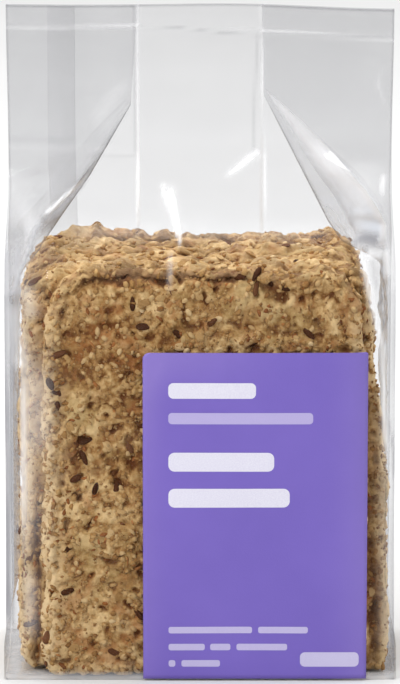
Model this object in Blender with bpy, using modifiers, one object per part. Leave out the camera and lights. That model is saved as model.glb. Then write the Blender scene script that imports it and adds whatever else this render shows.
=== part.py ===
"""A sealed clear bag of square multigrain crackers, standing on its block bottom, with a paper label.

The bag is one solid out to its film: a block round the stack of crackers, a roof where the front and back
panels lean together, and a flat sealed fin on top. A gusset is folded into each side. The label is a thin
sheet on the front panel. X runs along the front, Y from front to back, Z up. Lengths are in metres.
"""

import math

import bmesh
import bpy
from mathutils import Vector, noise

MM = 0.001

# Driving dimensions of the bag
BAG_WIDTH = 115.0 * MM
BAG_HEIGHT = 198.0 * MM
BODY_DEPTH = 58.0 * MM
CORNER_DEPTH = 41.0 * MM
FOOT_CORNER_DEPTH = 56.4 * MM
FOOT_SQUARE_Z = 48.0 * MM
SHOULDER_Z = 122.5 * MM
RIDGE_Z = 154.0 * MM
CORNER_SHOULDER_Z = 115.0 * MM
CORNER_RIDGE_Z = 151.0 * MM
FIN_THICKNESS = 1.8 * MM
FIN_NARROWING = 0.4 * MM
WAIST_PINCH = 0.9 * MM
WAIST_Z = 144.0 * MM

# The front and back panels lie flat out to here, then bend back to the folded corners
FLAT_HALF_WIDTH = 44.0 * MM
CORNER_CURVE = 2.0
SHOULDER_CORNER_CURVE = 1.4

# How softly the film bends at the ridge, over the crackers' top edge and at the foot
RIDGE_SOFTNESS = 2.6 * MM
SHOULDER_SOFTNESS = 1.8 * MM
FOOT_ROUND = 1.2 * MM
FOOT_INSET = 0.7 * MM

# Each gusset folds in to its inner fold, and above the stack it leaves the panels along a slanting crease.
# Both lines run down and outwards. Their places are pairs of height and distance from the middle.
INNER_FOLD = {
    -1: ((168.0 * MM, 20.5 * MM), (146.0 * MM, 34.0 * MM), (131.0 * MM, 46.5 * MM), (121.0 * MM, 54.0 * MM)),
    1: ((171.0 * MM, 18.6 * MM), (133.0 * MM, 38.0 * MM), (127.0 * MM, 42.0 * MM), (121.0 * MM, 54.0 * MM)),
}
CREASE = {
    -1: ((172.0 * MM, 22.0 * MM), (160.0 * MM, 34.0 * MM), (144.0 * MM, 47.0 * MM), (135.0 * MM, 55.5 * MM)),
    1: ((173.0 * MM, 20.5 * MM), (144.0 * MM, 43.0 * MM), (138.5 * MM, 50.5 * MM), (134.0 * MM, 55.5 * MM)),
}
GUSSET_OPENING_Z = (116.0 * MM, 128.0 * MM)

# Lower down the gusset is a shallow dent, with the film left on either side of it as thin ears
SIDE_DENT = 2.4 * MM
SIDE_FOLD_DENT = 3.6 * MM
DENT_Z = (9.0 * MM, 30.0 * MM)
DENT_FLOOR_SHARE = 0.6
EAR_THICKNESS = 0.9 * MM
FOLD_WALL = 1.2 * MM
FOLD_STEP = 0.8 * MM
SLIT_HALF = 0.2 * MM
CRUMPLE = 0.6 * MM
CRUMPLE_LENGTH = 9.0 * MM

# Top seal and back seam
SEAL_DROP_LEFT = 6.6 * MM
SEAL_DROP_RIGHT = 9.4 * MM
SEAL_RIB_HALF = 0.7 * MM
SEAL_RIB_HEIGHT = 0.35 * MM
TOP_EDGE_DROP = 1.2 * MM
TOP_EDGE_BEND_X = 4.0 * MM
SEAM_X = (-45.0 * MM, -36.8 * MM)
SEAM_HEIGHT = 0.3 * MM
SEAM_EDGE = 0.5 * MM
SEAM_FOOT_Z = (2.0 * MM, 8.0 * MM)

# Unevenness of the film: slow waves on the panels, finer creases on the roof, a slow bend of the fin
FRONT_SEED = 11.0
BACK_SEED = 3.0
CREASE_SEED_STEP = 7.0
FILM_WAVE = 0.45 * MM
FILM_WAVE_LENGTH = 34.0 * MM
WAVE_FOOT_Z = 12.0 * MM
CREASE_DEPTH = 0.8 * MM
CREASE_LENGTH = 13.0 * MM
ROOF_FADE = 8.0 * MM
EDGE_HOLD = 4.0
FIN_SWAY = 1.3 * MM
FIN_SWAY_LENGTH = 96.0 * MM
FIN_SWAY_PHASE = 0.7
SWAY_FOOT_Z = 140.0 * MM

# Label
LABEL_LEFT_X = -16.8 * MM
LABEL_RIGHT_X = 49.1 * MM
LABEL_FOOT_Z = 0.7 * MM
LABEL_TOP_Z = 99.6 * MM
LABEL_THICKNESS = 0.35 * MM
LABEL_GAP = 0.35 * MM
LABEL_ROUND_LEFT = 2.0 * MM
LABEL_ROUND_RIGHT = 0.7 * MM
LABEL_COLUMNS = 20
LABEL_ROWS = 16
LABEL_CORNER_ROWS = 5

# Mesh spacing
COLUMN_STEP = 4.6 * MM
SEAM_CLEAR_STEP = 1.6 * MM
BODY_ROW_STEP = 6.5 * MM
ROOF_ROW_STEP = 3.0 * MM
FIN_ROW_STEP = 5.0 * MM
ROOF_TOP_Z = RIDGE_Z + 9.0 * MM
CUTTER_FOOT_Z = -3.0 * MM
CUTTER_REACH = 12.0 * MM
CUTTER_LIP = 0.3 * MM

# The label stands proud of the front, so the whole is moved back until its box is centred on the origin
CENTRE_SHIFT_Y = 0.16 * MM

# Colours, linear
FILM_COLOUR = (0.78, 0.66, 0.48)
LABEL_COLOUR = (0.21, 0.15, 0.55)


def smooth_step(low, high, value):
    """0 below low, 1 above high, with an even rise between."""
    share = min(1.0, max(0.0, (value - low) / (high - low)))
    return share * share * (3.0 - 2.0 * share)


def soft_plus(value, softness):
    """0 for a negative value and the value itself for a positive one, with a soft bend between."""
    return softness * math.log1p(math.exp(value / softness))


def soft_min(first, second, softness):
    """The lesser of two lengths, with a soft bend where they meet."""
    low = min(first, second)
    return low - softness * math.log1p(math.exp((low - max(first, second)) / softness))


def leaning_panel(z, ridge_z, shoulder_z, full):
    """Half the bag's depth at height z: thin above the ridge, then a straight slope out to the shoulder."""
    thin = FIN_THICKNESS / 2.0
    slope = (full - thin) / (ridge_z - shoulder_z)
    lean = slope * soft_plus(ridge_z - z, RIDGE_SOFTNESS)
    return thin + max(0.0, soft_min(lean, full - thin, SHOULDER_SOFTNESS))


def middle_depth(z):
    """Half depth along the middle of the front and back panels."""
    return leaning_panel(z, RIDGE_Z, SHOULDER_Z, BODY_DEPTH / 2.0)


def corner_depth(z):
    """Half depth at the folded corners, which lag behind the middle of the panel but are square at the foot."""
    drawn_in = leaning_panel(z, CORNER_RIDGE_Z, CORNER_SHOULDER_Z, CORNER_DEPTH / 2.0)
    square = 1.0 - smooth_step(0.0, FOOT_SQUARE_Z, z)
    return drawn_in + (FOOT_CORNER_DEPTH - CORNER_DEPTH) / 2.0 * square


def along(line, z):
    """How far from the middle a line given by pairs of height and distance, top first, lies at height z."""
    for (high, inner), (low, outer) in zip(line, line[1:]):
        if z >= low:
            return inner + (outer - inner) * min(1.0, (high - z) / (high - low)) if z < high else inner
    return line[-1][1]


def inner_fold_x(z, side):
    """How far from the middle the gusset's inner fold lies at height z."""
    dented = BAG_WIDTH / 2.0 + CUTTER_LIP - SIDE_FOLD_DENT * smooth_step(*DENT_Z, z)
    return min(dented, along(INNER_FOLD[side], z)) if z > INNER_FOLD[side][-1][0] else dented


def crease_x(z, side):
    """How far from the middle the gusset's film leaves the front and back panels at height z."""
    dented = BAG_WIDTH / 2.0 + CUTTER_LIP - SIDE_DENT * smooth_step(*DENT_Z, z)
    return min(dented, along(CREASE[side], z)) if z > CREASE[side][-1][0] else dented


def half_width(z):
    """The bag's half width, a little pinched below the ridge."""
    above = smooth_step(RIDGE_Z, BAG_HEIGHT, z)
    pinch = smooth_step(SHOULDER_Z, WAIST_Z, z) * (1.0 - above)
    return BAG_WIDTH / 2.0 - WAIST_PINCH * pinch - FIN_NARROWING * above


def film_wave(x, z, seed):
    """The slow unevenness of a film panel, with finer creases where nothing holds it."""
    slow = noise.noise(Vector((x / FILM_WAVE_LENGTH, seed, z / FILM_WAVE_LENGTH)))
    crease = Vector((x / CREASE_LENGTH, seed + CREASE_SEED_STEP, z / (2.0 * CREASE_LENGTH)))
    below_fin = 1.0 - smooth_step(RIDGE_Z - ROOF_FADE, RIDGE_Z + ROOF_FADE, z)
    above_block = smooth_step(SHOULDER_Z - ROOF_FADE, SHOULDER_Z + ROOF_FADE, z)
    above_foot = smooth_step(0.0, WAVE_FOOT_Z, z)
    return below_fin * (FILM_WAVE * slow * above_foot + CREASE_DEPTH * noise.noise(crease) * above_block)


def fin_sway(x, z):
    """How far the flat fin bends out of its plane, front and back alike."""
    rise = smooth_step(SWAY_FOOT_Z, BAG_HEIGHT, z)
    return FIN_SWAY * rise * math.sin(math.tau * x / FIN_SWAY_LENGTH + FIN_SWAY_PHASE)


def seal_drop(x):
    """How far below the top edge the heat seal's rib runs, which slopes down to the right."""
    share = (x + BAG_WIDTH / 2.0) / BAG_WIDTH
    return SEAL_DROP_LEFT + (SEAL_DROP_RIGHT - SEAL_DROP_LEFT) * share


def seal_rib(x, z):
    """The raised rib at the foot of the heat seal."""
    away = abs(z - (BAG_HEIGHT - seal_drop(x))) / SEAL_RIB_HALF
    return SEAL_RIB_HEIGHT * max(0.0, 1.0 - away)


def back_seam(x, z):
    """The lapped seam that runs up the back panel."""
    left, right = SEAM_X
    past_left = smooth_step(left - SEAM_EDGE, left + SEAM_EDGE, x)
    past_right = smooth_step(right - SEAM_EDGE, right + SEAM_EDGE, x)
    return SEAM_HEIGHT * past_left * (1.0 - past_right) * smooth_step(*SEAM_FOOT_Z, z)


def panel_depth(x, z, seed):
    """Depth of a panel's surface from the bag's middle plane at x and z, bent back towards its sides."""
    middle, corner = middle_depth(z), corner_depth(z)
    side = 1 if x > 0.0 else -1
    bend_x = min(FLAT_HALF_WIDTH, crease_x(z, side))
    past = min(1.0, max(0.0, (abs(x) - bend_x) / (half_width(z) - bend_x)))
    wave = film_wave(x, z, seed) * min(1.0, EDGE_HOLD * (1.0 - past))
    on_shoulder = smooth_step(CORNER_SHOULDER_Z, SHOULDER_Z, z)
    curve = CORNER_CURVE + (SHOULDER_CORNER_CURVE - CORNER_CURVE) * on_shoulder
    return middle - (middle - corner) * past**curve + wave + seal_rib(x, z)


def panel_point(share, z, back):
    """A point of the front or back panel, share running from -1 at the left fold to 1 at the right."""
    x = share * half_width(z)
    depth = panel_depth(x, z, BACK_SEED if back else FRONT_SEED)
    if back:
        depth += back_seam(x, z)
    depth -= FOOT_INSET * max(0.0, 1.0 - z / FOOT_ROUND)
    top_share = smooth_step(RIDGE_Z, BAG_HEIGHT, z)
    drop = TOP_EDGE_DROP * smooth_step(TOP_EDGE_BEND_X, BAG_WIDTH / 2.0, x) * top_share
    return Vector((x, (depth if back else -depth) + fin_sway(x, z), z - drop))


def spaced(start, stop, step):
    """Even places from start up to but not at stop, no further apart than step."""
    count = max(1, math.ceil((stop - start) / step))
    return [start + (stop - start) * i / count for i in range(count)]


def row_heights():
    """Heights of the bag's rows, closer together in the roof and at the seal's rib."""
    seal_low = BAG_HEIGHT - SEAL_DROP_RIGHT - 2.0 * SEAL_RIB_HALF
    seal_high = BAG_HEIGHT - SEAL_DROP_LEFT + 2.0 * SEAL_RIB_HALF
    rows = [0.0, *spaced(FOOT_ROUND, CORNER_SHOULDER_Z, BODY_ROW_STEP)]
    rows += spaced(CORNER_SHOULDER_Z, ROOF_TOP_Z, ROOF_ROW_STEP)
    rows += spaced(ROOF_TOP_Z, seal_low, FIN_ROW_STEP)
    rows += spaced(seal_low, seal_high, SEAL_RIB_HALF)
    return rows + [seal_high, BAG_HEIGHT]


def column_shares():
    """Places across a panel from -1 to 1, with extra ones at the back seam's edges."""
    half = BAG_WIDTH / 2.0
    places = spaced(-half, half, COLUMN_STEP) + [half]
    for edge in SEAM_X:
        places = [x for x in places if abs(x - edge) > SEAM_CLEAR_STEP]
        places += [edge - SEAM_EDGE, edge + SEAM_EDGE]
    return [x / half for x in sorted(places)]


def loft(name, rings, collection):
    """A closed mesh object through rings of points that all have the same count."""
    mesh = bpy.data.meshes.new(name)
    bm = bmesh.new()
    loops = [[bm.verts.new(point) for point in ring] for ring in rings]
    for low, high in zip(loops, loops[1:]):
        for i, corner in enumerate(low):
            j = (i + 1) % len(low)
            bm.faces.new((corner, low[j], high[j], high[i]))
    bm.faces.new(list(reversed(loops[0])))
    bm.faces.new(loops[-1])
    bmesh.ops.recalc_face_normals(bm, faces=bm.faces)
    bm.to_mesh(mesh)
    bm.free()
    made = bpy.data.objects.new(name, mesh)
    collection.objects.link(made)
    return made


def plain_material(name, colour, roughness):
    """A Principled material of one colour."""
    material = bpy.data.materials.new(name)
    material.use_nodes = True
    shader = material.node_tree.nodes["Principled BSDF"]
    shader.inputs["Base Color"].default_value = (*colour, 1.0)
    shader.inputs["Roughness"].default_value = roughness
    shader.inputs["Metallic"].default_value = 0.0
    return material


def envelope(collection):
    """The bag's outer form before the gussets are cut: front panel, back panel, base and top edge."""
    shares = column_shares()
    rings = []
    for z in row_heights():
        front = [panel_point(share, z, back=False) for share in shares]
        back = [panel_point(share, z, back=True) for share in reversed(shares)]
        rings.append(front + back)
    return loft("bag", rings, collection)


def gusset_ring(side, z):
    """The open space of a side gusset at height z, from outside the bag in to its fold and out again."""
    outer = BAG_WIDTH / 2.0 + CUTTER_REACH
    edge = half_width(z) + CUTTER_LIP
    crumple = CRUMPLE * noise.noise(Vector((side, z / CRUMPLE_LENGTH, side))) * smooth_step(*DENT_Z, z)
    inner = inner_fold_x(z, side) + crumple
    crease = max(crease_x(z, side), inner + FOLD_STEP)
    mouth = max(SLIT_HALF, corner_depth(z) - EAR_THICKNESS)
    panel = min(panel_depth(side * crease, z, seed) for seed in (FRONT_SEED, BACK_SEED))
    opened = smooth_step(*GUSSET_OPENING_Z, z)
    floor = mouth * DENT_FLOOR_SHARE * (1.0 - opened) + (panel - FOLD_WALL) * opened
    floor = max(SLIT_HALF, floor)
    front = [(outer, -mouth), (edge, -mouth), (crease, -floor)]
    back = [(x, -y) for x, y in reversed(front)]
    ring = front + [(inner, 0.0)] + back
    return [Vector((side * x, y + fin_sway(side * x, z), z)) for x, y in ring]


def gusset_cutter(side, collection):
    """The open space of one side gusset: a shallow dent down the side that runs up into a deep fold."""
    top_z = INNER_FOLD[side][0][0]
    heights = spaced(CUTTER_FOOT_Z, top_z, ROOF_ROW_STEP) + [top_z]
    name = "gusset_cutter_right" if side > 0 else "gusset_cutter_left"
    cutter = loft(name, [gusset_ring(side, z) for z in heights], collection)
    cutter.hide_render = True
    cutter.display_type = "WIRE"
    return cutter


def make_bag(parts, cutters):
    """The sealed bag as one solid, with both gussets cut into its sides."""
    bag = envelope(parts)
    for side in (-1, 1):
        cutter = gusset_cutter(side, cutters)
        cut = bag.modifiers.new(cutter.name, "BOOLEAN")
        cut.operation = "DIFFERENCE"
        cut.object = cutter
    bag.data.materials.append(plain_material("clear_film", FILM_COLOUR, 0.15))
    return bag


def label_edge(edge_x, radius, inward, z):
    """Where one side of the label lies at height z, rounded in at its top corner."""
    above = max(0.0, z - (LABEL_TOP_Z - radius))
    inset = radius - math.sqrt(max(0.0, radius * radius - above * above))
    return edge_x + inward * inset


def label_heights():
    """Heights of the label's rows, closer together round its top corners."""
    corner_z = LABEL_TOP_Z - LABEL_ROUND_LEFT
    quarter = math.pi / 2.0
    turns = [quarter * i / LABEL_CORNER_ROWS for i in range(LABEL_CORNER_ROWS + 1)]
    rows = spaced(LABEL_FOOT_Z, corner_z, (corner_z - LABEL_FOOT_Z) / LABEL_ROWS)
    return rows + [corner_z + LABEL_ROUND_LEFT * math.sin(turn) for turn in turns]


def make_label(parts):
    """The paper label, a thin sheet that follows the front panel."""
    heights = label_heights()
    last_row = len(heights) - 1
    bpy.ops.mesh.primitive_grid_add(x_subdivisions=LABEL_COLUMNS, y_subdivisions=last_row, size=1.0)
    label = bpy.context.object
    label.name = "label"
    for vertex in label.data.vertices:
        z = heights[round((vertex.co.y + 0.5) * last_row)]
        left = label_edge(LABEL_LEFT_X, LABEL_ROUND_LEFT, 1.0, z)
        right = label_edge(LABEL_RIGHT_X, LABEL_ROUND_RIGHT, -1.0, z)
        x = left + (right - left) * (vertex.co.x + 0.5)
        front = panel_depth(x, z, FRONT_SEED) + LABEL_GAP
        vertex.co = Vector((x, -front + fin_sway(x, z), z))
    for holder in list(label.users_collection):
        holder.objects.unlink(label)
    parts.objects.link(label)
    sheet = label.modifiers.new("paper", "SOLIDIFY")
    sheet.thickness = LABEL_THICKNESS
    sheet.offset = 1.0
    sheet.use_even_offset = True
    label.data.materials.append(plain_material("label_paper", LABEL_COLOUR, 0.45))
    return label


def build():
    """Clears the scene and models the pack."""
    for old in list(bpy.data.objects):
        bpy.data.objects.remove(old, do_unlink=True)
    scene = bpy.context.scene
    parts = bpy.data.collections.new("cracker_pack")
    cutters = bpy.data.collections.new("cutters")
    scene.collection.children.link(parts)
    scene.collection.children.link(cutters)

    pack = bpy.data.objects.new("pack_frame", None)
    parts.objects.link(pack)
    pack.location = (0.0, CENTRE_SHIFT_Y, 0.0)
    bag = make_bag(parts, cutters)
    label = make_label(parts)
    for piece in [bag, label, *cutters.objects]:
        piece.parent = pack


build()
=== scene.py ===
"""Looks of the pack: a clear film bag, eight multigrain crackers with seeds, and a purple label."""

import math
import random
from collections import namedtuple

import bmesh
import bpy
from mathutils import Matrix, Vector, noise
from mathutils.bvhtree import BVHTree


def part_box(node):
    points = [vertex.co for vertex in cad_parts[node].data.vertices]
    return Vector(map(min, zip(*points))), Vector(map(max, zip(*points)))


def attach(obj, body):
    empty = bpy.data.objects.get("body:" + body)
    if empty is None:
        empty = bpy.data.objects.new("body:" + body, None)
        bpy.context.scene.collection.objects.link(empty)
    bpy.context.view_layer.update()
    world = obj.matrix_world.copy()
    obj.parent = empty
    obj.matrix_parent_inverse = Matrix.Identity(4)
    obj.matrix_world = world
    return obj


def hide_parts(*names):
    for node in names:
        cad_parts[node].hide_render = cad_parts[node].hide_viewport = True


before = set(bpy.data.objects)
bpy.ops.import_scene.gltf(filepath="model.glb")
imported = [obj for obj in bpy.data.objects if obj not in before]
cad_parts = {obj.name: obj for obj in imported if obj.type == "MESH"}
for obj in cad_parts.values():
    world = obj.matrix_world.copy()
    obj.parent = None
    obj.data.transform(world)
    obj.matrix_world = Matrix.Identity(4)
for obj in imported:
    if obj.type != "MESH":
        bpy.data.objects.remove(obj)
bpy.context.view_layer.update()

MM = 0.001
QUARTER_TURN = math.pi / 2.0

# The pack's own measures, read from the frame
BAG_LOW, BAG_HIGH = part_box("bag")
LABEL_LOW, LABEL_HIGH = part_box("label")
BAG_WIDTH = BAG_HIGH.x - BAG_LOW.x
BAG_HALF_WIDTH = BAG_WIDTH / 2.0
BAG_HEIGHT = BAG_HIGH.z - BAG_LOW.z
CENTRE_SHIFT_Y = 0.16 * MM

# The film's form: a block round the crackers, a roof, and a flat fin above it
BODY_DEPTH = 58.0 * MM
CORNER_DEPTH = 41.0 * MM
FOOT_CORNER_DEPTH = 56.4 * MM
FOOT_SQUARE_Z = 48.0 * MM
SHOULDER_Z = 122.5 * MM
CORNER_SHOULDER_Z = 115.0 * MM
CORNER_RIDGE_DROP = 3.0 * MM
RIDGE_Z = 154.0 * MM
FRONT_RIDGE = ((-57.0, 152.6), (0.0, 153.0), (18.0, 155.0), (57.0, 158.0))
BACK_RIDGE = ((-57.0, 154.5), (-18.0, 155.5), (17.0, 158.0), (57.0, 160.0))
FIN_THICKNESS = 1.8 * MM
FIN_NARROWING = 0.4 * MM
WAIST_PINCH = 0.9 * MM
WAIST_Z = 144.0 * MM
FLAT_HALF_WIDTH = 44.0 * MM
CORNER_CURVE = 2.0
SHOULDER_CORNER_CURVE = 1.4
RIDGE_SOFTNESS = 1.5 * MM
SHOULDER_SOFTNESS = 1.8 * MM
FOOT_ROUND = 1.2 * MM
FOOT_INSET = 0.7 * MM

# Gusset lines as pairs of height and distance from the middle, in millimetres, for each side
INNER_FOLD = {
    -1: ((198.0, 18.3), (168.0, 20.5), (146.7, 32.7), (135.9, 40.2), (122.3, 49.4), (117.0, 53.4)),
    1: ((198.0, 18.2), (171.0, 18.8), (133.0, 38.0), (127.0, 42.0), (121.0, 54.0)),
}
CREASE = {
    -1: ((172.0, 20.0), (160.0, 32.0), (144.0, 45.0), (135.0, 54.0), (131.0, 55.5)),
    1: ((173.0, 19.4), (161.4, 32.2), (151.0, 42.7), (144.5, 48.9), (138.5, 53.0), (134.0, 55.5)),
}
SIDE_DENT = 2.4 * MM
SIDE_FOLD_DENT = 3.6 * MM
DENT_Z = (9.0 * MM, 30.0 * MM)
GUSSET_GAP = 0.35 * MM
GUSSET_LEAST_FOLD = 0.6 * MM
GUSSET_FLAT_COLUMNS = 26
GUSSET_WALL_COLUMNS = 26
GUSSET_TOP_DROP = 0.3 * MM
CRUMPLE = 1.3 * MM
CRUMPLE_LENGTH = 9.0 * MM
CRUMPLE_FULL_Z = (20.0 * MM, 115.0 * MM)
CRUMPLE_END_Z = (132.0 * MM, 150.0 * MM)

# Seal, seam, cut edges and foot
SEAL_DROP_LEFT = 6.6 * MM
SEAL_DROP_RIGHT = 9.4 * MM
SEAL_SOFTNESS = 0.6 * MM
SEALED_WHITE = 0.035
# Painted light along the film's foot, which lightens the shadow under the crackers seen through it
FOOT_PAINTED_LIGHT = 0.40
FOOT_PAINTED_LIGHT_Z = (0.8 * MM, 3.2 * MM)
TOP_EDGE_DROP = 1.2 * MM
TOP_EDGE_BEND_X = 4.0 * MM
SEAM_LEFT_X = -45.0 * MM
SEAM_RIGHT_X = -36.8 * MM
SEAM_HEIGHT = 0.3 * MM
SEAM_FOOT_Z = 2.0 * MM
SEAM_TOP_DROP = 0.4 * MM
EDGE_SHADE = 0.35
EDGE_SHADE_WIDTH = 0.35 * MM
MOST_OPAQUE = 0.9

# Streaks of painted shade in the film beside the stack, for each side: how dark they are, where
# they start from the middle in millimetres, and how far that start is drawn in at the shoulder
STREAK_SHADE = {-1: 0.64, 1: 0.29}
STREAK_X = {-1: 53.2, 1: 54.9}
STREAK_DRAWN_IN = {-1: 1.5, 1: 4.4}
STREAK_SHOULDER_Z = (97.0 * MM, 118.0 * MM)
STREAK_END_Z = (124.0 * MM, 136.0 * MM)
STREAK_SOFTNESS = 2.0 * MM
STREAK_WIDTH = 1.8 * MM
STREAK_LENGTH = 24.0 * MM
STREAK_ON_BACK = 0.3
LEFT_STREAK_FOOT_Z = (7.0 * MM, 22.0 * MM)
RIGHT_STREAK_THIN_Z = (100.0 * MM, 118.0 * MM)
RIGHT_STREAK_THINNING = 0.6

# Unevenness of the film
FRONT_SEED = 11.0
BACK_SEED = 3.0
CREASE_SEED_STEP = 7.0
FILM_WAVE = 0.45 * MM
FILM_WAVE_LENGTH = 34.0 * MM
WAVE_FOOT_Z = 12.0 * MM
CREASE_DEPTH = 0.8 * MM
CREASE_LENGTH = 13.0 * MM
RIPPLE = 0.07 * MM
RIPPLE_LENGTH = 4.5 * MM
ROOF_FADE = 8.0 * MM
EDGE_HOLD = 4.0
FIN_SWAY = 1.3 * MM
FIN_SWAY_LENGTH = 96.0 * MM
FIN_SWAY_PHASE = 0.7
SWAY_FOOT_Z = 140.0 * MM
FILM_STEP = 0.85 * MM

# The folded bottom
BASE_STEP = 1.2 * MM
BASE_CRINKLE = 0.35 * MM
BASE_CRINKLE_LENGTH = 5.0 * MM
BASE_CRINKLE_SEED = 4.0
BASE_FLAT_EDGE = 3.0 * MM
BASE_FLAP = 14.0 * MM
BASE_FLAP_LINE = 0.9 * MM

# Label
LABEL_GAP = 0.35 * MM
PAPER = 0.22 * MM
LABEL_ROUND_LEFT = 2.0 * MM
LABEL_ROUND_RIGHT = 0.7 * MM
LABEL_ROW = 1.4 * MM
LABEL_COLUMNS = 50
LABEL_ROUND_ROWS = 8
PRINT_LIFT = 0.03 * MM

# The film's finish: what it lets through, how it shines, and its painted highlights and painted
# shade
FILM_TINT = (0.898, 0.898, 0.902, 1.0)
THIN_FILM_TINT = (0.922, 0.922, 0.926, 1.0)
FILM_WRINKLE = 0.2 * MM
HEAD_ON_SHINE = 0.0025
GLANCE_SHINE = 0.7
CALM_LOSS = 0.64
EDGE_ON_SHADE = 0.30
# Colours of the film's painted highlights and haze, of the cool painted highlights on the gusset
# walls, and of its painted shade
FILM_HAZE_AND_HIGHLIGHT = (0.96, 0.96, 0.97)
FILM_COOL_HIGHLIGHT = (0.85, 0.90, 0.97)
FILM_SHADE_GREY = (0.24, 0.24, 0.26)

# Colours of the crackers' crumb
DOUGH = (
    (0.08, (0.200, 0.076, 0.020)),
    (0.32, (0.400, 0.208, 0.066)),
    (0.50, (0.540, 0.325, 0.126)),
    (0.68, (0.665, 0.432, 0.190)),
    (0.92, (0.840, 0.590, 0.290)),
)
DOUGH_MEAN_TONE = 2.155
TOASTED_DOUGH = (0.430, 0.170, 0.052)
OLIVE_DOUGH = (0.390, 0.260, 0.090)
# Painted shade in pits and hollows, painted highlight along the rims, and painted shade on the tops
PIT_SHADE = (0.140, 0.040, 0.010)
RIM_HIGHLIGHT = (0.880, 0.650, 0.360)
TOP_SHADE_BROWN = (0.130, 0.062, 0.028)
CRUMB_GRIT = 1.4 * MM


def graded(dark, middle, pale, at=0.5):
    """Colours of what is baked in, from the darkest piece of a kind to its palest."""
    return ((0.0, dark), (at, middle), (1.0, pale))


OAT_COLOURS = graded((0.400, 0.225, 0.080), (0.560, 0.350, 0.145), (0.760, 0.540, 0.280))
SESAME_COLOURS = graded((0.520, 0.330, 0.130), (0.660, 0.450, 0.210), (0.840, 0.640, 0.370))
FLAX_COLOURS = graded((0.036, 0.012, 0.004), (0.090, 0.030, 0.010), (0.220, 0.092, 0.038), 0.6)
BRAN_COLOURS = graded((0.140, 0.048, 0.014), (0.380, 0.140, 0.040), (0.560, 0.270, 0.090), 0.6)
CRUMB_COLOURS = graded((0.230, 0.095, 0.028), (0.420, 0.238, 0.086), (0.600, 0.395, 0.178))
GRAIN_COLOURS = (
    (0.0, (0.200, 0.080, 0.022)),
    (0.3, (0.390, 0.208, 0.068)),
    (0.6, (0.530, 0.325, 0.130)),
    (1.0, (0.740, 0.520, 0.265)),
)
SEED_MOTTLE = 0.2 * MM

# Colours of the label and the floor
LABEL_PURPLE = ((0.3, (0.161, 0.109, 0.462)), (0.7, (0.180, 0.123, 0.496)))
# Colour of the label's painted sheen
LABEL_SHEEN_PURPLE = (0.360, 0.275, 0.600)
LABEL_FIBRE = 0.04 * MM
PRINT_WHITE = ((0.3, (0.66, 0.64, 0.76)), (0.7, (0.74, 0.73, 0.82)))
PRINT_FAINT = (0.350, 0.285, 0.620)
FLOOR_GREY = ((0.3, (0.615, 0.615, 0.615)), (0.7, (0.635, 0.635, 0.635)))


# Shader maths as Python expressions


def socket_named(sockets, name):
    """The socket with this identifier, or else with this name."""
    for socket in sockets:
        if socket.identifier == name:
            return socket
    return sockets[name]


class Link:
    """One output of a shader node. Arithmetic on it adds the Math nodes that work it out."""

    def __init__(self, finish, socket):
        self.finish = finish
        self.socket = socket

    def maths(self, operation, *values, clamp=False):
        settings = {"operation": operation, "use_clamp": clamp}
        sockets = ("Value", "Value_001", "Value_002")
        return self.finish.node("ShaderNodeMath", settings, dict(zip(sockets, values)))

    def __add__(self, other):
        return self.maths("ADD", self, other)

    __radd__ = __add__

    def __sub__(self, other):
        return self.maths("SUBTRACT", self, other)

    def __rsub__(self, other):
        return self.maths("SUBTRACT", other, self)

    def __mul__(self, other):
        return self.maths("MULTIPLY", self, other)

    __rmul__ = __mul__

    def __truediv__(self, other):
        return self.maths("DIVIDE", self, other)

    def __pow__(self, other):
        return self.maths("POWER", self, other)

    def clamped(self):
        """The same value, held between 0 and 1."""
        return self.maths("ADD", self, 0.0, clamp=True)

    def between(self, low, high):
        """0 below low, 1 above high, with a soft rise between."""
        inputs = {"Value": self, "From Min": low, "From Max": high}
        return self.finish.node("ShaderNodeMapRange", {"interpolation_type": "SMOOTHSTEP"}, inputs)


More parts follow.
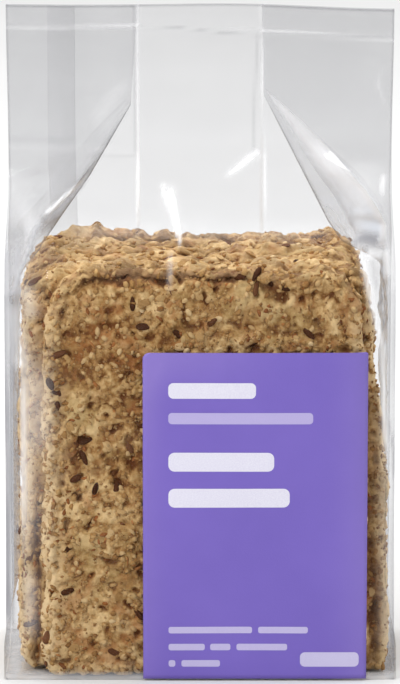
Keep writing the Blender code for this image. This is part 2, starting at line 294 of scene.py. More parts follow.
class Finish:
    """A material being made, from nodes that each come from one method."""

    def __init__(self, name):
        self.material = bpy.data.materials.new(name)
        self.material.use_nodes = True
        self.tree = self.material.node_tree
        self.tree.nodes.clear()

    def node(self, kind, settings, inputs, output=None):
        """A node of this kind: its settings first, then the values or links of its sockets."""
        made = self.tree.nodes.new(kind)
        for name, value in settings.items():
            if name == "stops":
                self.set_stops(made.color_ramp, value)
            else:
                setattr(made, name, value)
        for name, value in inputs.items():
            socket = socket_named(made.inputs, name)
            if isinstance(value, Link):
                self.tree.links.new(value.socket, socket)
            else:
                socket.default_value = value
        if output:
            return Link(self, socket_named(made.outputs, output))
        return Link(self, next(iter(made.outputs), None))

    def set_stops(self, ramp, stops):
        """Puts the stops, pairs of place and colour, on a colour ramp."""
        while len(ramp.elements) > 1:
            ramp.elements.remove(ramp.elements[-1])
        for i, (place, colour) in enumerate(stops):
            element = ramp.elements[0] if i == 0 else ramp.elements.new(place)
            element.position = place
            element.color = (*colour, 1.0)

    def place(self):
        """Where on the object a point lies, in metres."""
        return self.node("ShaderNodeTexCoord", {}, {}, "Object")

    def grain(self, per_metre, detail=3.0, roughness=0.55, shift=0.0, distortion=0.0):
        """Noise from 0 to 1 at a scale given as features to the metre."""
        moved = self.node(
            "ShaderNodeVectorMath",
            {"operation": "ADD"},
            {"Vector": self.place(), "Vector_001": (shift, shift * 0.7, shift * 1.3)},
        )
        inputs = {
            "Vector": moved,
            "Scale": per_metre,
            "Detail": detail,
            "Roughness": roughness,
            "Distortion": distortion,
        }
        return self.node("ShaderNodeTexNoise", {"noise_dimensions": "3D"}, inputs)

    def mark(self, name):
        """A value that the mesh carries at each of its points."""
        settings = {"attribute_type": "GEOMETRY", "attribute_name": name}
        return self.node("ShaderNodeAttribute", settings, {}, "Fac")

    def ramp(self, value, stops):
        """A colour for each value, between stops."""
        return self.node("ShaderNodeValToRGB", {"stops": stops}, {"Fac": value})

    def blend(self, share, first, second):
        """Two colours mixed by a share."""
        inputs = {"Factor_Float": share}
        for name, colour in (("A_Color", first), ("B_Color", second)):
            inputs[name] = colour if isinstance(colour, Link) else (*colour, 1.0)
        return self.node("ShaderNodeMix", {"data_type": "RGBA"}, inputs, "Result_Color")

    def bump(self, height, distance):
        """The normal of a surface with this relief, its distance in metres."""
        inputs = {"Height": height, "Distance": distance, "Strength": 1.0}
        return self.node("ShaderNodeBump", {}, inputs)

    def surface(self, colour, roughness, shine, **others):
        """A Principled surface with these sockets set."""
        inputs = {"Base Color": colour, "Roughness": roughness, "Specular IOR Level": shine}
        return self.node("ShaderNodeBsdfPrincipled", {}, {**inputs, **others})

    def done(self, shader):
        """Connects the shader to the output and returns the material."""
        self.node("ShaderNodeOutputMaterial", {}, {"Surface": shader})
        return self.material


# Finishes


def film_finish(name, tint):
    """Clear film: it shines more at a glance, and carries painted highlights and painted shade
    along its folds.
    """
    f = Finish(name)
    coarse = f.grain(150.0, detail=2.0, distortion=0.6)
    relief = f.bump(coarse + f.grain(620.0, detail=2.0, shift=0.4) * 0.25, FILM_WRINKLE)
    facing = f.node("ShaderNodeLayerWeight", {}, {"Blend": 0.5, "Normal": relief}, "Facing")
    one_face = facing**5.0 * (GLANCE_SHINE - f.mark("calm") * CALM_LOSS) + HEAD_ON_SHINE
    both_faces = one_face * 2.0 / (one_face + 1.0)
    haze = f.grain(60.0, detail=4.0, shift=0.9).between(0.5, 0.8) * 0.005
    cloud = f.grain(38.0, detail=3.0, shift=3.1).between(0.42, 0.62) * 0.007
    # The white mark is mostly painted highlight and painted light, with some whitening of the film
    # itself; the shade mark is mostly painted shade; haze and cloud are the film's own faint milky
    # tone
    white = f.mark("white") + haze
    shade = f.mark("shade") + cloud + facing**3.0 * EDGE_ON_SHADE
    solid = (white + shade).clamped()
    factor = (1.0 - (1.0 - both_faces) * (1.0 - solid)).clamped()
    darkness = (shade / (white + shade + 0.0001)).clamped()
    # Painted highlights on the gusset walls are tinted cool against the warm light the crackers
    # bounce onto them
    highlight_colour = f.blend(f.mark("cool"), FILM_HAZE_AND_HIGHLIGHT, FILM_COOL_HIGHLIGHT)
    gloss = f.surface(
        f.blend(darkness, highlight_colour, FILM_SHADE_GREY),
        f.grain(90.0, detail=3.0, shift=1.7) * 0.05 + 0.045,
        0.5,
        Metallic=(both_faces / (factor + 0.0001)).clamped(),
        Normal=relief,
    )
    clear = f.node("ShaderNodeBsdfTransparent", {}, {"Color": tint})
    inputs = {"Fac": factor, "Shader": clear, "Shader_001": gloss}
    return f.done(f.node("ShaderNodeMixShader", {}, inputs))


def crumb_finish():
    """Baked multigrain dough: toasted and olive patches, painted shade in pits and on tops, painted
    highlights on rims.
    """
    f = Finish("cracker_crumb")
    relief = f.mark("relief")
    broad = f.grain(48.0, detail=2.0)
    patches = f.grain(170.0, detail=4.0, roughness=0.6, shift=0.3)
    lumps = f.grain(430.0, detail=3.0, roughness=0.6, shift=0.5)
    fine = f.grain(1300.0, detail=4.0, roughness=0.7, shift=0.7)
    # Higher relief is painted paler and lower relief darker: painted light and shade on the crumb
    tone = broad * 1.6 + patches * 1.9 + lumps * 1.4 + fine * 0.45 + relief * 0.18
    dough = f.ramp(tone - DOUGH_MEAN_TONE, DOUGH)
    toasted = f.grain(130.0, detail=4.0, shift=1.9).between(0.52, 0.64) * 0.55
    olive = f.grain(105.0, detail=3.0, shift=2.1).between(0.50, 0.62) * 0.40
    # Painted shade in pits, hollows and grooves, where the relief mark is low
    pit_shade = (0.0 - relief).between(0.45, 1.8) * 0.85
    # Painted highlight along the rims and on the sides of the two crackers in front
    rim = f.mark("rim") * lumps.between(0.28, 0.50) * 0.7
    # Painted shade in patches over the tops, which tones down the light from above
    top_shade = f.grain(95.0, detail=3.0, shift=2.7).between(0.38, 0.62)
    colour = f.blend(toasted, dough, TOASTED_DOUGH)
    colour = f.blend(olive, colour, OLIVE_DOUGH)
    colour = f.blend(pit_shade, colour, PIT_SHADE)
    colour = f.blend(rim, colour, RIM_HIGHLIGHT)
    colour = f.blend(f.mark("crest") * top_shade * 0.46, colour, TOP_SHADE_BROWN)
    grit = fine * 0.28 + lumps * 0.5 + f.grain(2900.0, detail=3.0, shift=1.1) * 0.08
    crumb = f.bump(grit * (1.0 - f.mark("crest") * 0.20), CRUMB_GRIT)
    return f.done(f.surface(colour, patches * 0.25 + 0.62, 0.2, Normal=crumb))


def grain_finish(name, colours, roughness, shine, streak=0.0):
    """A seed or flake: each one has its own tone, with fine mottling and a little relief."""
    f = Finish(name)
    mottle = f.grain(1500.0, detail=4.0, roughness=0.65)
    colour = f.ramp(f.mark("tone") * 0.75 + mottle * 0.35 - 0.05, colours)
    if streak:
        settings = {"wave_type": "BANDS", "bands_direction": "DIAGONAL"}
        inputs = {"Vector": f.place(), "Scale": 900.0, "Distortion": 9.0, "Detail": 2.0}
        lines = f.node("ShaderNodeTexWave", settings, inputs, "Fac")
        colour = f.blend(lines * streak, colour, colours[0][1])
    relief = f.bump(mottle, SEED_MOTTLE)
    return f.done(f.surface(colour, mottle * 0.2 + roughness, shine, Normal=relief))


def paper_finish():
    """Purple label paper: flat ink with a faint fibre mottle, and a painted sheen that pales it
    towards its edges.
    """
    f = Finish("label_paper")
    fibre = f.grain(2400.0, detail=4.0, roughness=0.6)
    cloud = f.grain(42.0, detail=2.0, shift=0.5)
    ink = f.ramp(fibre * 0.25 + cloud * 0.75, LABEL_PURPLE)
    # The pale mark is a painted sheen towards the label's edges
    colour = f.blend(f.mark("pale") * 0.3, ink, LABEL_SHEEN_PURPLE)
    relief = f.bump(fibre + cloud * 6.0, LABEL_FIBRE)
    return f.done(f.surface(colour, fibre * 0.12 + 0.42, 0.35, Normal=relief))


def print_finish():
    """White ink on the label."""
    f = Finish("label_print")
    fibre = f.grain(2600.0, detail=3.0)
    colour = f.blend(f.mark("faint"), f.ramp(fibre, PRINT_WHITE), PRINT_FAINT)
    return f.done(f.surface(colour, fibre * 0.1 + 0.45, 0.35))


def studio_finish():
    """Matt white floor."""
    f = Finish("studio_floor")
    return f.done(f.surface(f.ramp(f.grain(9.0, detail=2.0), FLOOR_GREY), 0.9, 0.1))


# Soft steps, lines and unevenness


def smooth_step(low, high, value):
    """0 below low, 1 above high, with an even rise between."""
    share = min(1.0, max(0.0, (value - low) / (high - low)))
    return share * share * (3.0 - 2.0 * share)


def soft_plus(value, softness):
    """0 for a negative value and the value itself for a positive one, with a soft bend between."""
    return softness * math.log1p(math.exp(min(60.0, value / softness)))


def soft_min(first, second, softness):
    """The lesser of two lengths, with a soft bend where they meet."""
    low = min(first, second)
    return low - softness * math.log1p(math.exp((low - max(first, second)) / softness))


def bell(away, width):
    """1 in the middle, falling away smoothly on both sides."""
    return math.exp(-((away / width) ** 2))


def uneven(x, y, z):
    """Smooth unevenness from about -1 to 1, at places counted in waves, or seeds in their stead."""
    return noise.noise(Vector((x, y, z)))


def along(line, place):
    """A line of pairs of place and value in millimetres, read in metres at a place in metres."""
    points = sorted(line)
    here = place / MM
    if here <= points[0][0]:
        return points[0][1] * MM
    for (low, first), (high, second) in zip(points, points[1:]):
        if here <= high:
            return (first + (second - first) * (here - low) / (high - low)) * MM
    return points[-1][1] * MM


def along_mm(line, place):
    """The same with place and value in millimetres."""
    return along(line, place * MM) / MM


def quarter_turns(count):
    """Angles from 0 to a quarter turn in this many even steps."""
    return [QUARTER_TURN * i / count for i in range(count + 1)]


# The film's form


def leaning_panel(z, ridge_z, shoulder_z, full):
    """Half the bag's depth at z: thin above the ridge, then a straight slope to the shoulder."""
    thin = FIN_THICKNESS / 2.0
    slope = (full - thin) / (ridge_z - shoulder_z)
    lean = slope * soft_plus(ridge_z - z, RIDGE_SOFTNESS)
    return thin + max(0.0, soft_min(lean, full - thin, SHOULDER_SOFTNESS))


def corner_depth(z, ridge_z):
    """Half depth at the folded corners, which lag behind the panel but are square at the foot."""
    drawn_in = leaning_panel(z, ridge_z - CORNER_RIDGE_DROP, CORNER_SHOULDER_Z, CORNER_DEPTH / 2.0)
    square = 1.0 - smooth_step(0.0, FOOT_SQUARE_Z, z)
    return drawn_in + (FOOT_CORNER_DEPTH - CORNER_DEPTH) / 2.0 * square


def half_width(z):
    """The bag's half width, a little pinched below the ridge."""
    above = smooth_step(RIDGE_Z, BAG_HEIGHT, z)
    pinch = smooth_step(SHOULDER_Z, WAIST_Z, z) * (1.0 - above)
    return BAG_HALF_WIDTH - WAIST_PINCH * pinch - FIN_NARROWING * above


def gusset_line(line, dent, z):
    """How far from the middle a gusset's line lies at z, below its end in the dented side."""
    dented = BAG_HALF_WIDTH - dent * smooth_step(*DENT_Z, z)
    return min(dented, along(line, z)) if z > line[-1][0] * MM else dented


def inner_fold_x(z, side):
    """How far from the middle the gusset's inner fold lies at height z."""
    return gusset_line(INNER_FOLD[side], SIDE_FOLD_DENT, z)


def crease_x(z, side):
    """How far from the middle the gusset's film leaves the front and back panels at height z."""
    return gusset_line(CREASE[side], SIDE_DENT, z)


def film_wave(x, z, seed):
    """The unevenness of a film panel: slow waves, finer creases where it hangs free, ripples."""
    slow = uneven(x / FILM_WAVE_LENGTH, seed, z / FILM_WAVE_LENGTH)
    crease = uneven(x / CREASE_LENGTH, seed + CREASE_SEED_STEP, z / (2.0 * CREASE_LENGTH))
    ripple = RIPPLE * uneven(x / RIPPLE_LENGTH, seed * 2.0, z / (3.0 * RIPPLE_LENGTH))
    below_fin = 1.0 - smooth_step(RIDGE_Z - ROOF_FADE, RIDGE_Z + ROOF_FADE, z)
    above_block = smooth_step(SHOULDER_Z - ROOF_FADE, SHOULDER_Z + ROOF_FADE, z)
    above_foot = smooth_step(0.0, WAVE_FOOT_Z, z)
    waves = FILM_WAVE * slow * above_foot + CREASE_DEPTH * crease * above_block
    return below_fin * waves + ripple


def fin_sway(x, z):
    """How far the flat fin bends out of its plane, front and back alike."""
    rise = smooth_step(SWAY_FOOT_Z, BAG_HEIGHT, z)
    return FIN_SWAY * rise * math.sin(math.tau * x / FIN_SWAY_LENGTH + FIN_SWAY_PHASE)


def panel_depth(x, z, back):
    """Depth of the front or back panel's surface from the bag's middle plane at x and z."""
    ridge_z = along(BACK_RIDGE if back else FRONT_RIDGE, x)
    middle = leaning_panel(z, ridge_z, SHOULDER_Z, BODY_DEPTH / 2.0)
    corner = corner_depth(z, ridge_z)
    bend_x = min(FLAT_HALF_WIDTH, crease_x(z, 1 if x > 0.0 else -1))
    past = min(1.0, max(0.0, (abs(x) - bend_x) / (half_width(z) - bend_x)))
    held = min(1.0, EDGE_HOLD * (1.0 - past))
    wave = film_wave(x, z, BACK_SEED if back else FRONT_SEED) * held
    on_shoulder = smooth_step(CORNER_SHOULDER_Z, SHOULDER_Z, z)
    curve = CORNER_CURVE + (SHOULDER_CORNER_CURVE - CORNER_CURVE) * on_shoulder
    return middle - (middle - corner) * past**curve + wave


def top_drop(x, z):
    """How far the top edge falls away to the right."""
    drop = TOP_EDGE_DROP * smooth_step(TOP_EDGE_BEND_X, BAG_HALF_WIDTH, x)
    return drop * smooth_step(RIDGE_Z, BAG_HEIGHT, z)


# Folds in the film with the painted highlights and painted shade along them, each a line of points
# across a panel as pairs of x and z in millimetres


Fold = namedtuple("Fold", "points widths height white shade fade start side box")


def fold(points, width, height=0.0, white=0.0, shade=0.0, fade=0.15, start=0.0, side=0):
    """A fold: its width at each end and height in millimetres, its painted highlight and shade.

    It fades in over the first share start and out over the last share fade. One that has a side
    spreads only to the right (1) or the left (-1) of its line.
    """
    widths = width if isinstance(width, tuple) else (width, width)
    xs, zs = [p[0] for p in points], [p[1] for p in points]
    reach = 3.0 * max(widths)
    box = (min(xs) - reach, max(xs) + reach, min(zs) - reach, max(zs) + reach)
    return Fold(points, widths, height, white, shade, fade, start, side, box)


SEAL_MIDDLE = [(-18.2, 191.8), (-6.0, 191.2), (6.0, 189.6), (18.4, 188.9)]
ROOF_WEDGE = [(-9.8, 146.6), (-9.2, 143.0), (-7.4, 137.0), (-5.8, 131.0)]
ROOF_WEDGE_CORE = [(-8.9, 145.5), (-8.3, 142.0), (-7.0, 137.0), (-5.8, 129.5)]
ROOF_WEDGE_SIDE = [(-11.4, 146.9), (-10.6, 143.0), (-9.6, 139.0)]
ROOF_STREAK = [(6.5, 147.2), (11.8, 150.6), (17.7, 155.0)]
RIGHT_SHOULDER = [(44.4, 138.5), (45.4, 132.0), (47.6, 126.0), (49.8, 116.0)]
RIGHT_SHOULDER += [(53.6, 100.0), (54.0, 82.5), (55.0, 64.5)]
RIGHT_DARK_BAND = [(44.6, 131.8), (48.0, 132.0), (53.0, 130.8)]
RIGHT_DARK_CREASE = [(50.3, 128.0), (50.8, 121.5), (52.0, 116.0)]
RIGHT_GLINT = [(54.4, 149.5), (53.7, 145.0), (53.9, 141.0)]
LEFT_SHOULDER = [(-46.1, 136.0), (-48.2, 134.1), (-51.1, 127.0), (-53.7, 119.6), (-56.1, 114.2)]
LEFT_DARK_CREASE = [(-30.8, 149.9), (-35.8, 143.8), (-46.4, 135.8)]
LEFT_LIGHT_STRIP = [(-54.8, 116.0), (-53.5, 100.0), (-52.5, 92.0)]
FIN_LIGHT = [(-20.5, 176.5), (-27.0, 169.0), (-34.3, 160.5)]

FRONT_FOLDS = (
    # The gusset folds' two long creases, each a painted highlight with painted shade beside it
    fold([(-18.2, 199.0), (-18.3, 155.0), (-18.0, 128.0)], 0.32, 0.25, white=0.55, fade=0.25),
    fold([(-19.2, 199.0), (-19.3, 153.0)], (0.55, 0.35), shade=0.22, fade=0.05),
    fold([(17.9, 199.0), (18.9, 155.0), (19.1, 132.0)], 0.30, 0.25, white=0.45, fade=0.25),
    fold([(17.1, 190.0), (15.9, 167.0), (15.9, 152.0)], (0.35, 0.5), 0.15, shade=0.20, fade=0.1),
    # The heat seal, with painted highlights on its ridges and painted shade in the middle
    fold([(-57.5, 192.5), (-18.2, 192.1)], 0.22, 0.15, white=0.38, fade=0.0),
    fold([(-57.5, 191.3), (-18.2, 190.9)], 0.20, 0.1, white=0.22, fade=0.0),
    fold(SEAL_MIDDLE, 0.25, 0.1, shade=0.26, fade=0.0),
    fold([(18.4, 190.4), (57.5, 190.0)], 0.22, 0.15, white=0.34, fade=0.0),
    fold([(18.4, 189.1), (57.5, 188.7)], 0.20, 0.1, white=0.24, fade=0.0),
    # Painted highlights on the roof, in wedges and streaks, and a short line of painted shade
    fold(ROOF_WEDGE, (1.9, 0.4), 0.2, white=0.42, fade=0.1, start=0.3),
    fold(ROOF_WEDGE_CORE, (0.7, 0.35), 0.1, white=0.5, fade=0.1, start=0.2),
    fold(ROOF_WEDGE_SIDE, (0.5, 0.2), white=0.3, fade=0.4, start=0.2),
    fold(ROOF_STREAK, (0.4, 1.2), 0.1, white=0.5, fade=0.05, start=0.3),
    fold([(-8.6, 130.0), (-8.9, 116.0)], 0.7, white=0.22, fade=0.5, start=0.3),
    fold([(-35.4, 153.4), (-18.0, 153.2)], 0.35, 0.1, shade=0.12, fade=0.1, start=0.2),
    # Right shoulder, film drawn tight from stack's corner to pack's side: painted highlights and
    # shade
    fold(RIGHT_SHOULDER, (0.9, 0.7), 0.2, white=0.6, start=0.32),
    fold(RIGHT_SHOULDER, (3.0, 1.5), white=0.16, fade=0.2, start=0.1, side=1),
    fold([(53.6, 114.4), (54.4, 101.0), (55.6, 92.0)], 0.5, 0.2, shade=0.16, fade=0.3, start=0.3),
    fold(RIGHT_DARK_BAND, (1.7, 1.9), 0.3, shade=0.85, fade=0.2, start=0.15),
    fold([(48.6, 128.0), (53.8, 126.9)], (1.6, 1.5), white=0.50, fade=0.2, start=0.2),
    fold(RIGHT_DARK_CREASE, (0.9, 0.7), 0.2, shade=0.24, fade=0.3, start=0.2),
    fold([(54.4, 129.0), (55.2, 119.0)], (1.6, 1.2), white=0.40, fade=0.3, start=0.2),
    fold([(54.0, 84.0), (57.1, 69.0), (57.3, 58.0)], 0.5, 0.2, shade=0.40, fade=0.2, start=0.3),
    fold([(55.0, 92.0), (55.0, 6.0)], 2.0, white=0.10, fade=0.1, start=0.2),
    fold(RIGHT_GLINT, (0.9, 0.6), 0.3, white=0.6, fade=0.4, start=0.4),
    fold([(53.3, 182.0), (52.7, 174.2), (55.4, 167.0)], 0.3, 0.1, white=0.25, fade=0.2, start=0.2),
    # The left shoulder: painted shade down to the pack's side, painted light round it, a painted
    # highlight
    fold(LEFT_SHOULDER, 0.55, 0.15, shade=0.62, start=0.05),
    fold(LEFT_SHOULDER, (4.5, 1.5), white=0.20, fade=0.5, start=0.1, side=-1),
    fold(LEFT_SHOULDER, (3.0, 3.0), white=0.17, fade=0.2, start=0.25, side=1),
    fold([(-53.2, 131.0), (-55.6, 118.0)], 0.5, 0.1, shade=0.20, fade=0.3, start=0.3),
    fold([(-34.8, 146.6), (-46.3, 137.4)], (0.3, 0.5), 0.15, white=0.62, start=0.4),
    fold(LEFT_DARK_CREASE, (0.4, 0.5), 0.15, shade=0.36, fade=0.05, start=0.25),
    # Light on the foot of the roof, over the back of the stack
    fold([(-42.0, 133.6), (42.0, 133.6)], 2.2, white=0.085, fade=0.1, start=0.1),
    # Left side: painted light over the first two crackers, painted shade and light near the pack's
    # edge
    fold([(-51.8, 92.0), (-52.2, 44.0)], (0.4, 0.7), 0.2, white=0.22, fade=0.3, start=0.2),
    fold([(-52.5, 112.0), (-52.5, 26.0)], (3.4, 3.0), white=0.42, fade=0.35, start=0.3, side=1),
    fold(LEFT_LIGHT_STRIP, (2.4, 2.6), white=0.24, fade=0.2, start=0.3),
    fold([(-51.0, 93.0), (-57.7, 56.0)], (1.0, 0.5), shade=0.14, fade=0.2, start=0.2),
    fold([(-56.9, 70.0), (-57.0, 14.0)], 0.8, shade=0.44, start=0.3),
    fold([(-55.2, 18.0), (-55.0, 2.0)], (2.4, 2.6), white=0.22, fade=0.05, start=0.35),
    fold([(-47.4, 98.0), (-46.2, 66.0)], 3.2, white=0.13, fade=0.3, start=0.3),
    fold([(-51.5, 120.0), (-49.0, 108.0)], 2.6, white=0.20, fade=0.3, start=0.3),
    fold([(-50.3, 36.0), (-50.3, 10.0)], 2.2, white=0.20, fade=0.3, start=0.3),
    # Soft light on the fin and where it opens into the roof
    fold(FIN_LIGHT, (1.6, 3.0), white=0.16, fade=0.4, start=0.2),
    fold([(-27.5, 199.0), (-27.0, 158.0)], 7.0, white=0.06, fade=0.1),
    fold([(-56.0, 150.0), (-50.0, 132.0)], 4.5, white=0.12, fade=0.3, start=0.3),
    fold([(50.0, 154.0), (48.0, 136.0)], 4.8, white=0.22, fade=0.3, start=0.3),
    # The kink between fin and roof, left of the middle: painted shade above a painted highlight
    fold([(-57.5, 158.0), (-35.0, 157.4)], 1.3, shade=0.09),
    fold([(-57.5, 155.6), (-18.5, 155.0)], 0.6, white=0.12, fade=0.2),
)
BACK_FOLDS = (
    # Painted highlights along the back's creases and seal
    fold([(-18.4, 199.0), (-18.4, 20.0)], 0.35, 0.2, white=0.2),
    fold([(18.4, 199.0), (18.9, 20.0)], 0.35, 0.2, white=0.2),
    fold([(-57.5, 191.9), (57.5, 189.4)], 0.25, 0.15, white=0.2, fade=0.0),
)


def away_from_line(x, z, points):
    """The signed distance in millimetres from a line, and how far along it that is, from 0 to 1."""
    spans = [math.dist(a, b) for a, b in zip(points, points[1:])]
    best, best_gone, gone = 1.0e9, 0.0, 0.0
    for (x0, z0), (x1, z1), span in zip(points, points[1:], spans):
        share = ((x - x0) * (x1 - x0) + (z - z0) * (z1 - z0)) / (span * span)
        share = min(1.0, max(0.0, share))
        near_x = x0 + (x1 - x0) * share
        away = math.hypot(x - near_x, z - z0 - (z1 - z0) * share)
        if away < abs(best):
            best = away if x > near_x else -away
            best_gone = (gone + span * share) / sum(spans)
        gone += span
    return best, best_gone


def fold_marks(x, z, folds):
    """Height, painted highlight and painted shade that the folds add at x and z."""
    height = white = shade = 0.0
    here_x, here_z = x / MM, z / MM
    for line in folds:
        left, right, low, high = line.box
        if not (left < here_x < right and low < here_z < high):
            continue
        away, gone = away_from_line(here_x, here_z, line.points)
        width = line.widths[0] + (line.widths[1] - line.widths[0]) * gone
        if line.side:
            past = away * line.side
            strength = math.exp(-max(0.0, past) / width) * smooth_step(-0.35, 0.25, past)
        else:
            strength = bell(away, width)
        if line.fade:
            strength *= smooth_step(0.0, line.fade, 1.0 - gone)
        if line.start:
            strength *= smooth_step(0.0, line.start, gone)
        height += line.height * strength * MM
        white += line.white * strength
        shade += line.shade * strength
    return height, white, shade


# Meshes


def grid_faces(columns, rows, start=0, flipped=False):
    """Faces of a grid of points that is columns wide, counted from start."""
    faces = []
    for j in range(rows - 1):
        for i in range(columns - 1):
            low = start + j * columns + i
            faces.append((low, low + 1, low + columns + 1, low + columns))
    return [face[::-1] for face in faces] if flipped else faces


def spaced(start, stop, step):
    """Even places from start to stop, both included, no further apart than step."""
    count = max(1, math.ceil((stop - start) / step))
    return [start + (stop - start) * i / count for i in range(count + 1)]


def marked_mesh(name, points, faces, **marks):
    """A mesh with lists of values that its finish reads, one value for each point."""
    mesh = bpy.data.meshes.new(name)
    mesh.from_pydata(points, [], faces)
    for mark, values in marks.items():
        mesh.attributes.new(mark, "FLOAT", "POINT").data.foreach_set("value", values)
    return mesh


def finished(mesh, material):
    """Puts a mesh in the scene as a piece of the pack, with its finish."""
    piece = bpy.data.objects.new(mesh.name, mesh)
    bpy.context.scene.collection.objects.link(piece)
    piece.location.y = CENTRE_SHIFT_Y
    mesh.materials.append(material)
    mesh.shade_smooth()
    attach(piece, "root")
    return piece


def new_piece(name, points, faces, material, slot, **marks):
    """A piece of the pack from its points, faces and marks."""
    return finished(marked_mesh(name, points, faces, **marks), material)


def edge_shade(distance):
    """How much darker the film is close to a cut edge or a sharp side fold."""
    return EDGE_SHADE * bell(distance, EDGE_SHADE_WIDTH)


def sealed(x, z):
    """1 where the film is welded together, above the sloping heat seal."""
    slope = SEAL_DROP_RIGHT - SEAL_DROP_LEFT
    seal_z = BAG_HEIGHT - SEAL_DROP_LEFT - slope * (x / BAG_WIDTH + 0.5)
    return smooth_step(seal_z - SEAL_SOFTNESS, seal_z + SEAL_SOFTNESS, z)


def streak_shade(x, z, back):
    """How much the streaks of painted shade darken the film beside the stack."""
    side = 1 if x > 0.0 else -1
    streak = 0.75 + 0.9 * uneven(x / STREAK_WIDTH, 2.0 * back, z / STREAK_LENGTH)
    edge_x = (STREAK_X[side] - STREAK_DRAWN_IN[side] * smooth_step(*STREAK_SHOULDER_Z, z)) * MM
    beside = smooth_step(edge_x, edge_x + STREAK_SOFTNESS, abs(x))
    beside *= 1.0 - smooth_step(*STREAK_END_Z, z)
    if side > 0:
        beside *= 1.0 - RIGHT_STREAK_THINNING * smooth_step(*RIGHT_STREAK_THIN_Z, z)
    else:
        beside *= smooth_step(*LEFT_STREAK_FOOT_Z, z)
    return (STREAK_ON_BACK if back else 1.0) * STREAK_SHADE[side] * max(0.0, streak) * beside


def film_panel(name, back, material):
    """The front or back panel, from the foot to the sealed top edge."""
    folds = BACK_FOLDS if back else FRONT_FOLDS
    shares = [x / BAG_HALF_WIDTH for x in spaced(-BAG_HALF_WIDTH, BAG_HALF_WIDTH, FILM_STEP)]
    heights = [0.0, *spaced(FOOT_ROUND, BAG_HEIGHT, FILM_STEP)]
    points, whites, shades = [], [], []
    for z in heights:
        for share in shares:
            x = share * half_width(z)
            rise, white, shade = fold_marks(x, z, folds)
            depth = panel_depth(x, z, back) + rise - FOOT_INSET * max(0.0, 1.0 - z / FOOT_ROUND)
            shade += edge_shade(BAG_HEIGHT - z) + edge_shade(half_width(z) - abs(x)) * 0.6
            shade += streak_shade(x, z, back)
            white += SEALED_WHITE * sealed(x, z)
            # Painted light at the foot lightens the shadow under the crackers
            white += FOOT_PAINTED_LIGHT * (1.0 - smooth_step(*FOOT_PAINTED_LIGHT_Z, z))
            y = (depth if back else -depth) + fin_sway(x, z)
            points.append((x, y, z - top_drop(x, z)))
            whites.append(min(MOST_OPAQUE, white))
            shades.append(min(MOST_OPAQUE, shade))
    faces = grid_faces(len(shares), len(heights), flipped=back)
    return new_piece(name, points, faces, material, "clear_film", white=whites, shade=shades)


def film_seam(material):
    """The second layer where the back panel's two edges lap."""
    columns = spaced(SEAM_LEFT_X, SEAM_RIGHT_X, FILM_STEP)
    heights = spaced(SEAM_FOOT_Z, BAG_HEIGHT - SEAM_TOP_DROP, FILM_STEP)
    points, shades = [], []
    for z in heights:
        for x in columns:
            edge = min(x - SEAM_LEFT_X, SEAM_RIGHT_X - x)
            lift = SEAM_HEIGHT * smooth_step(-0.5 * MM, 0.8 * MM, edge)
            y = panel_depth(x, z, True) + lift + fin_sway(x, z)
            points.append((x, y, z - top_drop(x, z)))
            lapped = 0.05 * smooth_step(SEAM_LEFT_X, SEAM_RIGHT_X, x)
            shades.append(edge_shade(SEAM_RIGHT_X - x) * 0.15 + lapped)
    faces = grid_faces(len(columns), len(heights), flipped=True)
    marks = {"white": [0.0] * len(points), "shade": shades}
    return new_piece("film_back_seam", points, faces, material, "clear_film", **marks)


def gusset_section(side, z):
    """The gusset's film at z, from front to back, as distances from the middle and depths."""
    inner = inner_fold_x(z, side)
    crease = max(crease_x(z, side), inner + GUSSET_LEAST_FOLD)
    halves = []
    for back in (False, True):
        half = []
        for i in range(GUSSET_FLAT_COLUMNS + 1):
            share = i / GUSSET_FLAT_COLUMNS
            x = half_width(z) + (crease - half_width(z)) * share
            depth = panel_depth(side * x, z, back) - GUSSET_GAP * min(1.0, 6.0 * share)
            half.append((x, depth if back else -depth))
        x0, y0 = half[-1]
        for i in range(1, GUSSET_WALL_COLUMNS + 1):
            share = i / GUSSET_WALL_COLUMNS
            half.append((x0 + (inner - x0) * share, y0 * (1.0 - share)))
        halves.append(half)
    return halves[0] + halves[1][-2::-1]


# Lines of painted highlight and painted shade on each gusset's wall: how far each lies from the
# crease (0) to the inner fold (1) at its low and high end, those ends' heights in millimetres, its
# width as a share, and how much painted highlight and painted shade it adds
WallLine = namedtuple("WallLine", "at z width white shade", defaults=(0.0, 0.0))
WALL_LINES = {
    -1: (
        WallLine((0.64, 0.88), (132.0, 148.0), 0.05, white=0.65),
        WallLine((0.54, 0.97), (132.0, 154.0), 0.035, shade=0.45),
        WallLine((0.84, 1.00), (128.0, 174.0), 0.15, shade=0.26),
        WallLine((1.00, 1.00), (126.0, 173.0), 0.05, shade=0.45),
        WallLine((0.78, 0.85), (120.0, 138.0), 0.25, shade=0.25),
    ),
    1: (
        WallLine((0.26, 0.30), (124.0, 186.0), 0.30, white=0.95),
        WallLine((0.52, 0.74), (123.0, 158.0), 0.03, shade=0.30),
        WallLine((0.66, 0.44), (124.0, 142.0), 0.035, white=0.1, shade=0.22),
        WallLine((0.80, 0.88), (122.0, 140.0), 0.06, white=0.35),
        WallLine((1.00, 1.00), (120.0, 172.0), 0.05, shade=0.30),
    ),
}
# Slow streaks of painted highlight and painted shade over the gusset walls
WALL_HIGHLIGHT = 0.16
WALL_SHADE = 0.08
WALL_STREAK_LENGTH = 22.0 * MM
WALL_LOOK_Z = (124.0 * MM, 132.0 * MM)
WALL_LOOK_END_Z = (166.0 * MM, 175.0 * MM)
WALL_COOL_END_Z = (138.0 * MM, 152.0 * MM)
BACK_WALL_LOOK = 0.3


